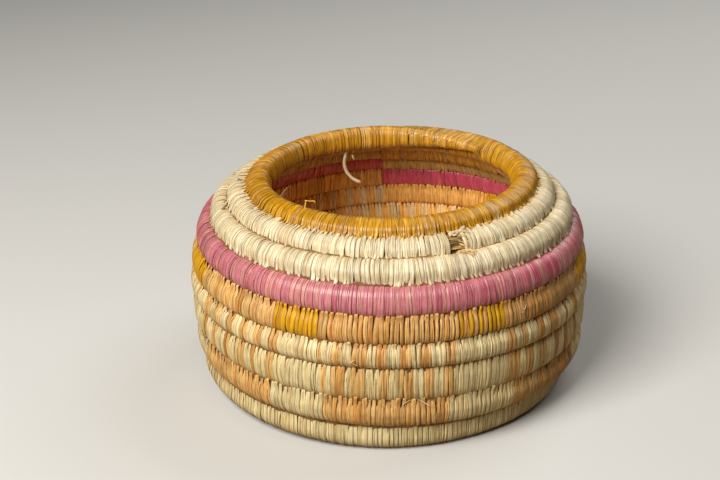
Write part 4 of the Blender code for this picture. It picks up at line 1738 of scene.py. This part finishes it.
# The strand inside the mouth and the short bit beside it, by places in millimetres
STRAND = (
    (-20.5, 56.9, 98.6), (-20.6, 56.4, 97.0), (-21.1, 56.2, 95.4), (-21.6, 56.2, 93.2),
    (-21.8, 56.2, 91.1), (-21.4, 56.2, 88.7), (-20.7, 56.2, 86.7), (-19.6, 56.2, 84.9),
    (-18.3, 56.2, 83.3), (-16.8, 56.2, 81.9), (-15.0, 56.2, 80.9), (-13.2, 56.2, 80.0),
)  # fmt: skip
STRAND_BIT = ((-17.2, 56.6, 96.2), (-16.9, 56.2, 95.0), (-16.3, 56.1, 93.4))
# The strips that stand up at the splice, by places in millimetres, half their width and their colour
RAISED = (
    (((28.84, -69.0, 98.9), (30.6, -69.3, 100.1), (32.4, -69.0, 101.9), (34.2, -68.0, 103.4)),
     0.85, (0.80, 0.68, 0.44)),
    (((29.2, -69.2, 98.8), (31.6, -70.2, 99.6), (34.0, -70.0, 100.6), (35.0, -69.0, 102.2)),
     0.5, (0.72, 0.55, 0.26)),
    (((32.6, -71.2, 98.6), (33.6, -70.6, 99.8), (34.9, -69.6, 100.9), (35.4, -68.8, 101.6)),
     0.4, (0.74, 0.45, 0.06)),
)  # fmt: skip
# The strips that cross over the splice: where each begins in degrees round the basket, degrees round the
# section there and at the top, and half its width in millimetres; and the way that all of them take:
# degrees on from there, whether the section's angle is the top's, what is added to it, and the height
CROSSING = (
    (20.0, 70, 52, 0.6), (20.4, 52, 38, 0.75), (21.0, 62, 60, 0.5), (21.6, 44, 30, 0.7),
    (20.2, 60, 45, 0.5),
)  # fmt: skip
CROSSING_WAY = (
    (0.0, False, 0, 0.1), (0.9, True, 14, 0.8), (2.8, True, 0, 0.9), (5.0, True, 4, 0.8),
    (6.6, True, 14, 0.6), (7.4, True, 26, 0.0),
)  # fmt: skip
STRAND_COLOUR = (0.78, 0.66, 0.45)
STRAND_BIT_COLOUR = (0.55, 0.40, 0.20)
STEM_COLOUR = (0.70, 0.49, 0.22)
CROSSING_COLOUR = (0.88, 0.78, 0.55)
FRAYED_COLOUR = (0.70, 0.49, 0.24)


def in_metres(places: Sequence[Sequence[float]]) -> list[list[float]]:
    """Places in millimetres, in metres."""
    return [[value * MM for value in place] for place in places]


def scaled(colour: Sequence[float], shade: float) -> tuple[float, ...]:
    """A colour multiplied by a shade, so lighter or darker."""
    return tuple(value * shade for value in colour)


@dataclass
class LooseEnds:
    """The strand that hangs inside, the open splice in the neck and the stray fibres."""

    route: CoilRoute
    stems: int = 60
    wisps: int = 14
    frayed: int = 54
    chance: np.random.Generator = field(default_factory=lambda: np.random.default_rng(11))

    # Ranges at the splice: degrees round the section, millimetres over it and degrees round the basket;
    # long stems run under the strips on the other side, and short ones end in the opening
    STEM_SECTION, STEM_HEIGHT, STEM_THICKNESS = (-60, 140), (-2.4, -0.3), (0.2, 0.42)
    STEM_START, LONG_STOP, SHORT_STOP, LONG_SHARE = 17.8, 27.2, (22.8, 25.4), 0.45
    STEM_POINTS, STEM_DRIFT, STEM_BEND = 5, 9, 0.2
    RISE_FROM, RISE = 22.5, 4  # where the stems begin to turn upward, and degrees for each degree
    WISP_SECTION, WISP_MIDDLE, WISP_TURN, WISP_END = (50, 120), (0.1, 0.7), (10, 50), (0.3, 1.2)
    FRAYED_SECTION, FRAYED_START, FRAYED_HEIGHT = (2, 46), (21.2, 24.4), (0.6, 1.9)
    FRAYED_MIDDLE, FRAYED_STOP, FRAYED_TURN = (0.6, 1.5), (1.4, 2.6), (14, 34)

    def on_coil(self, course: int, angle: float, section: float, proud: float) -> np.ndarray:
        """A point on or over a turn of the coil.

        Args:
            course: the turn's number.
            angle: degrees round the basket.
            section: degrees round the turn's section from its top, outward positive.
            proud: millimetres over it.

        Returns:
            The point.
        """
        t = np.array([self.route.turn_at(course, angle)])
        radius, height = self.route.skin(t, np.radians([section]), np.array([proud * MM]))
        return round_basket(radius, height, math.radians(angle))[0]

    def any_of(self, low: float, high: float) -> float:
        """A number at random from low to high."""
        return float(self.chance.uniform(low, high))

    def put(self, name: str, fibres: list[Fibre], finish: FibreFinish, *nodes: str) -> None:
        """Makes one piece of several threads and dresses it, to stand for the nodes named."""
        skins = [fibre.skin(float(self.chance.random())) for fibre in fibres]
        stand_in(Skin.joined(skins).to_object(name), finish, *nodes)

    def build(self) -> None:
        """Makes and dresses them all."""
        self._strand()
        self.put("splice_stems", self._stems() + self._wisps(), GRASS_FINISH, "splice_grass_end")
        self.put("splice_strips", self._raised() + self._crossing(), CREAM_FINISH, "splice_strip_end")
        self.put("frayed_strips", self._frayed(), CREAM_FINISH)
        self._strays()

    def _strand(self) -> None:
        """The strand of raffia that hangs from the rim inside, and a short bit beside it."""
        facing = (0.2, -1.0, 0.1)
        strand = Fibre(in_metres(STRAND), 0.92 * MM, 0.4 * MM, STRAND_COLOUR, facing, stations=26, tip=1.0)
        bit = Fibre(in_metres(STRAND_BIT), 0.5 * MM, 0.25 * MM, STRAND_BIT_COLOUR, facing)
        self.put("loose_strand_of_raffia", [strand, bit], CREAM_FINISH, "loose_strand")

    def _stems(self) -> list[Fibre]:
        """The stems of grass that show in the open splice.

        Returns:
            The stems.
        """
        stems = []
        for _ in range(self.stems):
            section, depth = self.any_of(*self.STEM_SECTION), self.any_of(*self.STEM_HEIGHT)
            drift = float(self.chance.normal() * self.STEM_DRIFT)
            long = self.chance.random() < self.LONG_SHARE
            stop = self.LONG_STOP if long else self.any_of(*self.SHORT_STOP)
            angles = np.linspace(self.STEM_START, stop, self.STEM_POINTS)
            bend = self.chance.normal(size=self.STEM_POINTS) * self.STEM_BEND
            path = []
            for k, angle in enumerate(angles):
                turned = section + drift * k / (self.STEM_POINTS - 1)
                turned += max(angle - self.RISE_FROM, 0) * self.RISE
                path.append(self.on_coil(NECK, angle, turned, depth + bend[k]))
            shade, thick = self.any_of(0.4, 1.4), self.any_of(*self.STEM_THICKNESS) * MM
            colour = scaled(STEM_COLOUR, shade)
            stems.append(Fibre(path, thick, thick, colour, stations=10, corners=6, tip=0.7))
        return stems

    def _wisps(self) -> list[Fibre]:
        """Thin fibres that stand up from the splice.

        Returns:
            The fibres.
        """
        wisps = []
        for _ in range(self.wisps):
            section = self.any_of(*self.WISP_SECTION)
            middle = self.any_of(*self.WISP_MIDDLE)
            turned, end = section + self.any_of(*self.WISP_TURN), self.any_of(*self.WISP_END)
            path = [
                self.on_coil(NECK, 22.6, section, -0.5),
                self.on_coil(NECK, 24.2, section + 14, middle),
                self.on_coil(NECK, 25.6, turned, end),
            ]
            colour = scaled(STEM_COLOUR, self.any_of(0.6, 1.3))
            wisps.append(Fibre(path, 0.2 * MM, 0.18 * MM, colour, stations=9, corners=5))
        return wisps

    def _raised(self) -> list[Fibre]:
        """The strips that stand up at the splice."""
        facing = (0.2, -0.8, 0.6)
        return [Fibre(in_metres(run), width * MM, 0.2 * MM, colour, facing) for run, width, colour in RAISED]

    def _crossing(self) -> list[Fibre]:
        """The strips that cross over the splice.

        Returns:
            The strips.
        """
        crossing = []
        for first, low, top, width in CROSSING:
            path = [
                self.on_coil(NECK, first + on, (top if at_top else low) + more, height)
                for on, at_top, more, height in CROSSING_WAY
            ]
            colour = scaled(CROSSING_COLOUR, self.any_of(0.88, 1.05))
            crossing.append(Fibre(path, width * MM, 0.17 * MM, colour, (0.3, -0.6, 0.8), stations=22))
        return crossing

    def _frayed(self) -> list[Fibre]:
        """The frayed ends of strips on the turn under the splice.

        Returns:
            The ends.
        """
        frayed = []
        for _ in range(self.frayed):
            section, first = self.any_of(*self.FRAYED_SECTION), self.any_of(*self.FRAYED_START)
            lift = self.any_of(*self.FRAYED_HEIGHT)
            middle = first + self.any_of(*self.FRAYED_MIDDLE)
            stop = first + self.any_of(*self.FRAYED_STOP)
            path = [
                self.on_coil(NECK - 1, first, section, 0.1),
                self.on_coil(NECK - 1, middle, section + 14, lift),
                self.on_coil(NECK - 1, stop, section + self.any_of(*self.FRAYED_TURN), 0.5),
            ]
            colour = scaled(FRAYED_COLOUR, self.any_of(0.8, 1.35))
            frayed.append(Fibre(path, 0.27 * MM, 0.16 * MM, colour, stations=9, corners=5))
        return frayed

    def _strays(self) -> None:
        """Stray fibres that stand off the stitches."""
        fibres = []
        for run, width, colour in STRAYS:
            path = [self.on_coil(*place) for place in run]
            fibres.append(Fibre(path, width * MM, width * 0.7 * MM, colour, stations=12, corners=6, tip=0.3))
        for run, width, colour in FREE:
            path = in_metres(run)
            fibres.append(Fibre(path, width * MM, width * 0.7 * MM, colour, stations=10, corners=6, tip=0.6))
        self.put("stray_fibres", fibres, CREAM_FINISH)


@dataclass
class Basket:
    """The whole basket: the grass, the stitches, the knot and the loose ends."""

    route: CoilRoute
    strips: Strips

    def sleeves(self) -> list[StitchedSleeve]:
        """The stretches of stitches, one for each sleeve of the CAD.

        Returns:
            All of them.
        """
        route = self.route
        found = [StitchedSleeve("base_wrap", route.start, -0.5, CREAM_FINISH, fine=False)]
        for name, finish in (
            ("foot", CREAM_FINISH),
            ("lower_check", CREAM_FINISH),
            ("upper_check", PEACH_FINISH),
            ("magenta", MAGENTA_FINISH),
            ("shoulder", CREAM_FINISH),
            ("rim", OCHRE_FINISH),
        ):
            course = NUMBERS[name]
            found.append(
                StitchedSleeve(f"{name}_wrap", course - 0.5, course + 0.5, finish, closed_top=course == RIM)
            )
        found.append(StitchedSleeve("rim_end_wrap", RIM + 0.5, route.end, OCHRE_FINISH, closed_top=True))
        half = math.degrees(SPLICE_LENGTH / 2 / float(route.centre(np.array([NECK]))[0][0]))
        right, left = (route.turn_at(NECK, SPLICE_ANGLE + side * half) for side in (1, -1))
        found.append(StitchedSleeve("neck_wrap_right", NECK - 0.5, right, CREAM_FINISH))
        found.append(StitchedSleeve("neck_wrap_left", left, NECK + 0.5, CREAM_FINISH))
        found += self._blocks("block", "cream_block", CREAM_FINISH)
        found += self._blocks("peach", "ochre_block", GOLD_FINISH)
        return found

    def _blocks(self, name: str, block: str, finish: FibreFinish) -> list[StitchedSleeve]:
        """The stretches of a peach course with a block of another colour at each repeat of the motif.

        Args:
            name: the course's name.
            block: what its blocks are called.
            finish: the blocks' finish.

        Returns:
            The stretches, in order.
        """
        found = []
        course = NUMBERS[name]
        start = course - 0.5
        for number, middle in enumerate(MOTIF_ANGLES, start=1):
            first, last = (self.route.turn_at(course, middle + side * BLOCK_ANGLE / 2) for side in (1, -1))
            found.append(StitchedSleeve(f"{name}_wrap_{number}", start, first, PEACH_FINISH))
            found.append(StitchedSleeve(f"{block}_{number}", first, last, finish))
            start = last
        final = f"{name}_wrap_{len(MOTIF_ANGLES) + 1}"
        return [*found, StitchedSleeve(final, start, course + 0.5, PEACH_FINISH)]

    def build(self) -> None:
        """Makes and dresses every piece."""
        grass = GrassBundle()
        grass.build(self.route)
        grass.dress()
        for sleeve in self.sleeves():
            sleeve.build(self.route, self.strips)
            sleeve.dress()
        binding = RimBinding()
        binding.build(self.route, self.strips)
        binding.dress()
        knot = StartKnot()
        knot.build(self.route)
        knot.dress()
        LooseEnds(self.route).build()


@dataclass(frozen=True)
class Lamp:
    """A square lamp aimed at the basket: its place and side in metres, and its power in watts."""

    name: str
    place: tuple[float, float, float]
    size: float
    power: float
    colour: tuple[float, float, float]

    AIM = Vector((0, 0, 0.05))

    def build(self) -> None:
        """Adds the lamp."""
        light = bpy.data.lights.new(self.name, "AREA")
        light.shape = "SQUARE"
        light.size = self.size
        light.energy = self.power
        light.color = self.colour
        made = bpy.data.objects.new(self.name, light)
        place = Vector(self.place)
        turn = (self.AIM - place).to_track_quat("-Z", "Y").to_matrix().to_4x4()
        made.matrix_world = Matrix.Translation(place) @ turn
        bpy.context.scene.collection.objects.link(made)


@dataclass
class Studio:
    """Plain pale floor, soft light from the upper left and the camera of the photo."""

    lamps: tuple[Lamp, ...] = (
        Lamp("key_light", (-0.66, -0.78, 1.05), 0.8, 27.0, (1.0, 0.965, 0.9)),
        Lamp("back_light", (0.75, 0.6, 1.05), 1.0, 8.0, (1.0, 0.98, 0.94)),
    )
    world_colour: tuple[float, float, float] = (0.95, 0.97, 1.0)
    world_strength: float = 0.02
    floor_size: float = 8.0
    floor_seen: tuple[float, float, float] = (0.66, 0.655, 0.64)  # as the camera sees it
    floor_lit: tuple[float, float, float] = (0.27, 0.22, 0.15)  # for what it throws back at the basket
    elevation: float = 22.97  # how far the camera looks down, degrees
    distance: float = 0.7
    side: float = -14.4 * MM
    aim_height: float = 69.1 * MM
    roll: float = 1.8  # how far it is tilted sideways, degrees
    sensor: float = 36.0  # millimetres
    focal_share: float = 1348 / 720  # focal length, as a share of the sensor's width

    def build(self) -> None:
        """Adds the floor, the lights and the camera."""
        self._floor()
        self._world()
        for lamp in self.lamps:
            lamp.build()
        self._camera()

    def _floor(self) -> None:
        """The floor."""
        bpy.ops.mesh.primitive_plane_add(size=self.floor_size, location=(0, 0, 0))
        floor = bpy.context.object
        floor.name = "floor"
        finish = bpy.data.materials.new("floor")
        finish.use_nodes = True
        shader = finish.node_tree.nodes["Principled BSDF"]
        start = Wire(finish.node_tree, shader.outputs[0])
        seen = start.node("ShaderNodeLightPath", {}, {}, "Is Camera Ray")
        paint = seen.between(self.floor_lit, self.floor_seen)
        finish.node_tree.links.new(paint.socket, shader.inputs["Base Color"])
        shader.inputs["Roughness"].default_value = 0.9
        shader.inputs["Specular IOR Level"].default_value = 0.2
        floor.data.materials.append(finish)

    def _world(self) -> None:
        """Even light from all round."""
        world = bpy.data.worlds.new("studio")
        world.use_nodes = True
        background = world.node_tree.nodes["Background"]
        background.inputs["Color"].default_value = (*self.world_colour, 1)
        background.inputs["Strength"].default_value = self.world_strength
        bpy.context.scene.world = world

    def _camera(self) -> None:
        """The camera at the photo's angle."""
        camera = bpy.data.cameras.new("camera")
        camera.sensor_width = self.sensor
        camera.lens = self.sensor * self.focal_share
        camera.clip_start = 10 * MM
        made = bpy.data.objects.new("camera", camera)
        fall = math.radians(self.elevation)
        back, up = self.distance * math.cos(fall), self.distance * math.sin(fall)
        place = Matrix.Translation((self.side, -back, up + self.aim_height))
        turn = Matrix.Rotation(math.radians(90) - fall, 4, "X")
        made.matrix_world = place @ turn @ Matrix.Rotation(math.radians(-self.roll), 4, "Z")
        bpy.context.scene.collection.objects.link(made)
        bpy.context.scene.camera = made


def main() -> None:
    """Builds and dresses the basket, then the studio."""
    logging.basicConfig(level=logging.INFO, format="%(name)s: %(message)s")
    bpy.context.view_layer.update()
    bpy.context.scene.view_settings.view_transform = "Standard"
    route = CoilRoute()
    strips = Sewer(route, seed=7).lay()
    LOG.info("%d strips", len(strips))
    Basket(route, strips).build()
    Studio().build()


if __name__ == "__main__":
    main()
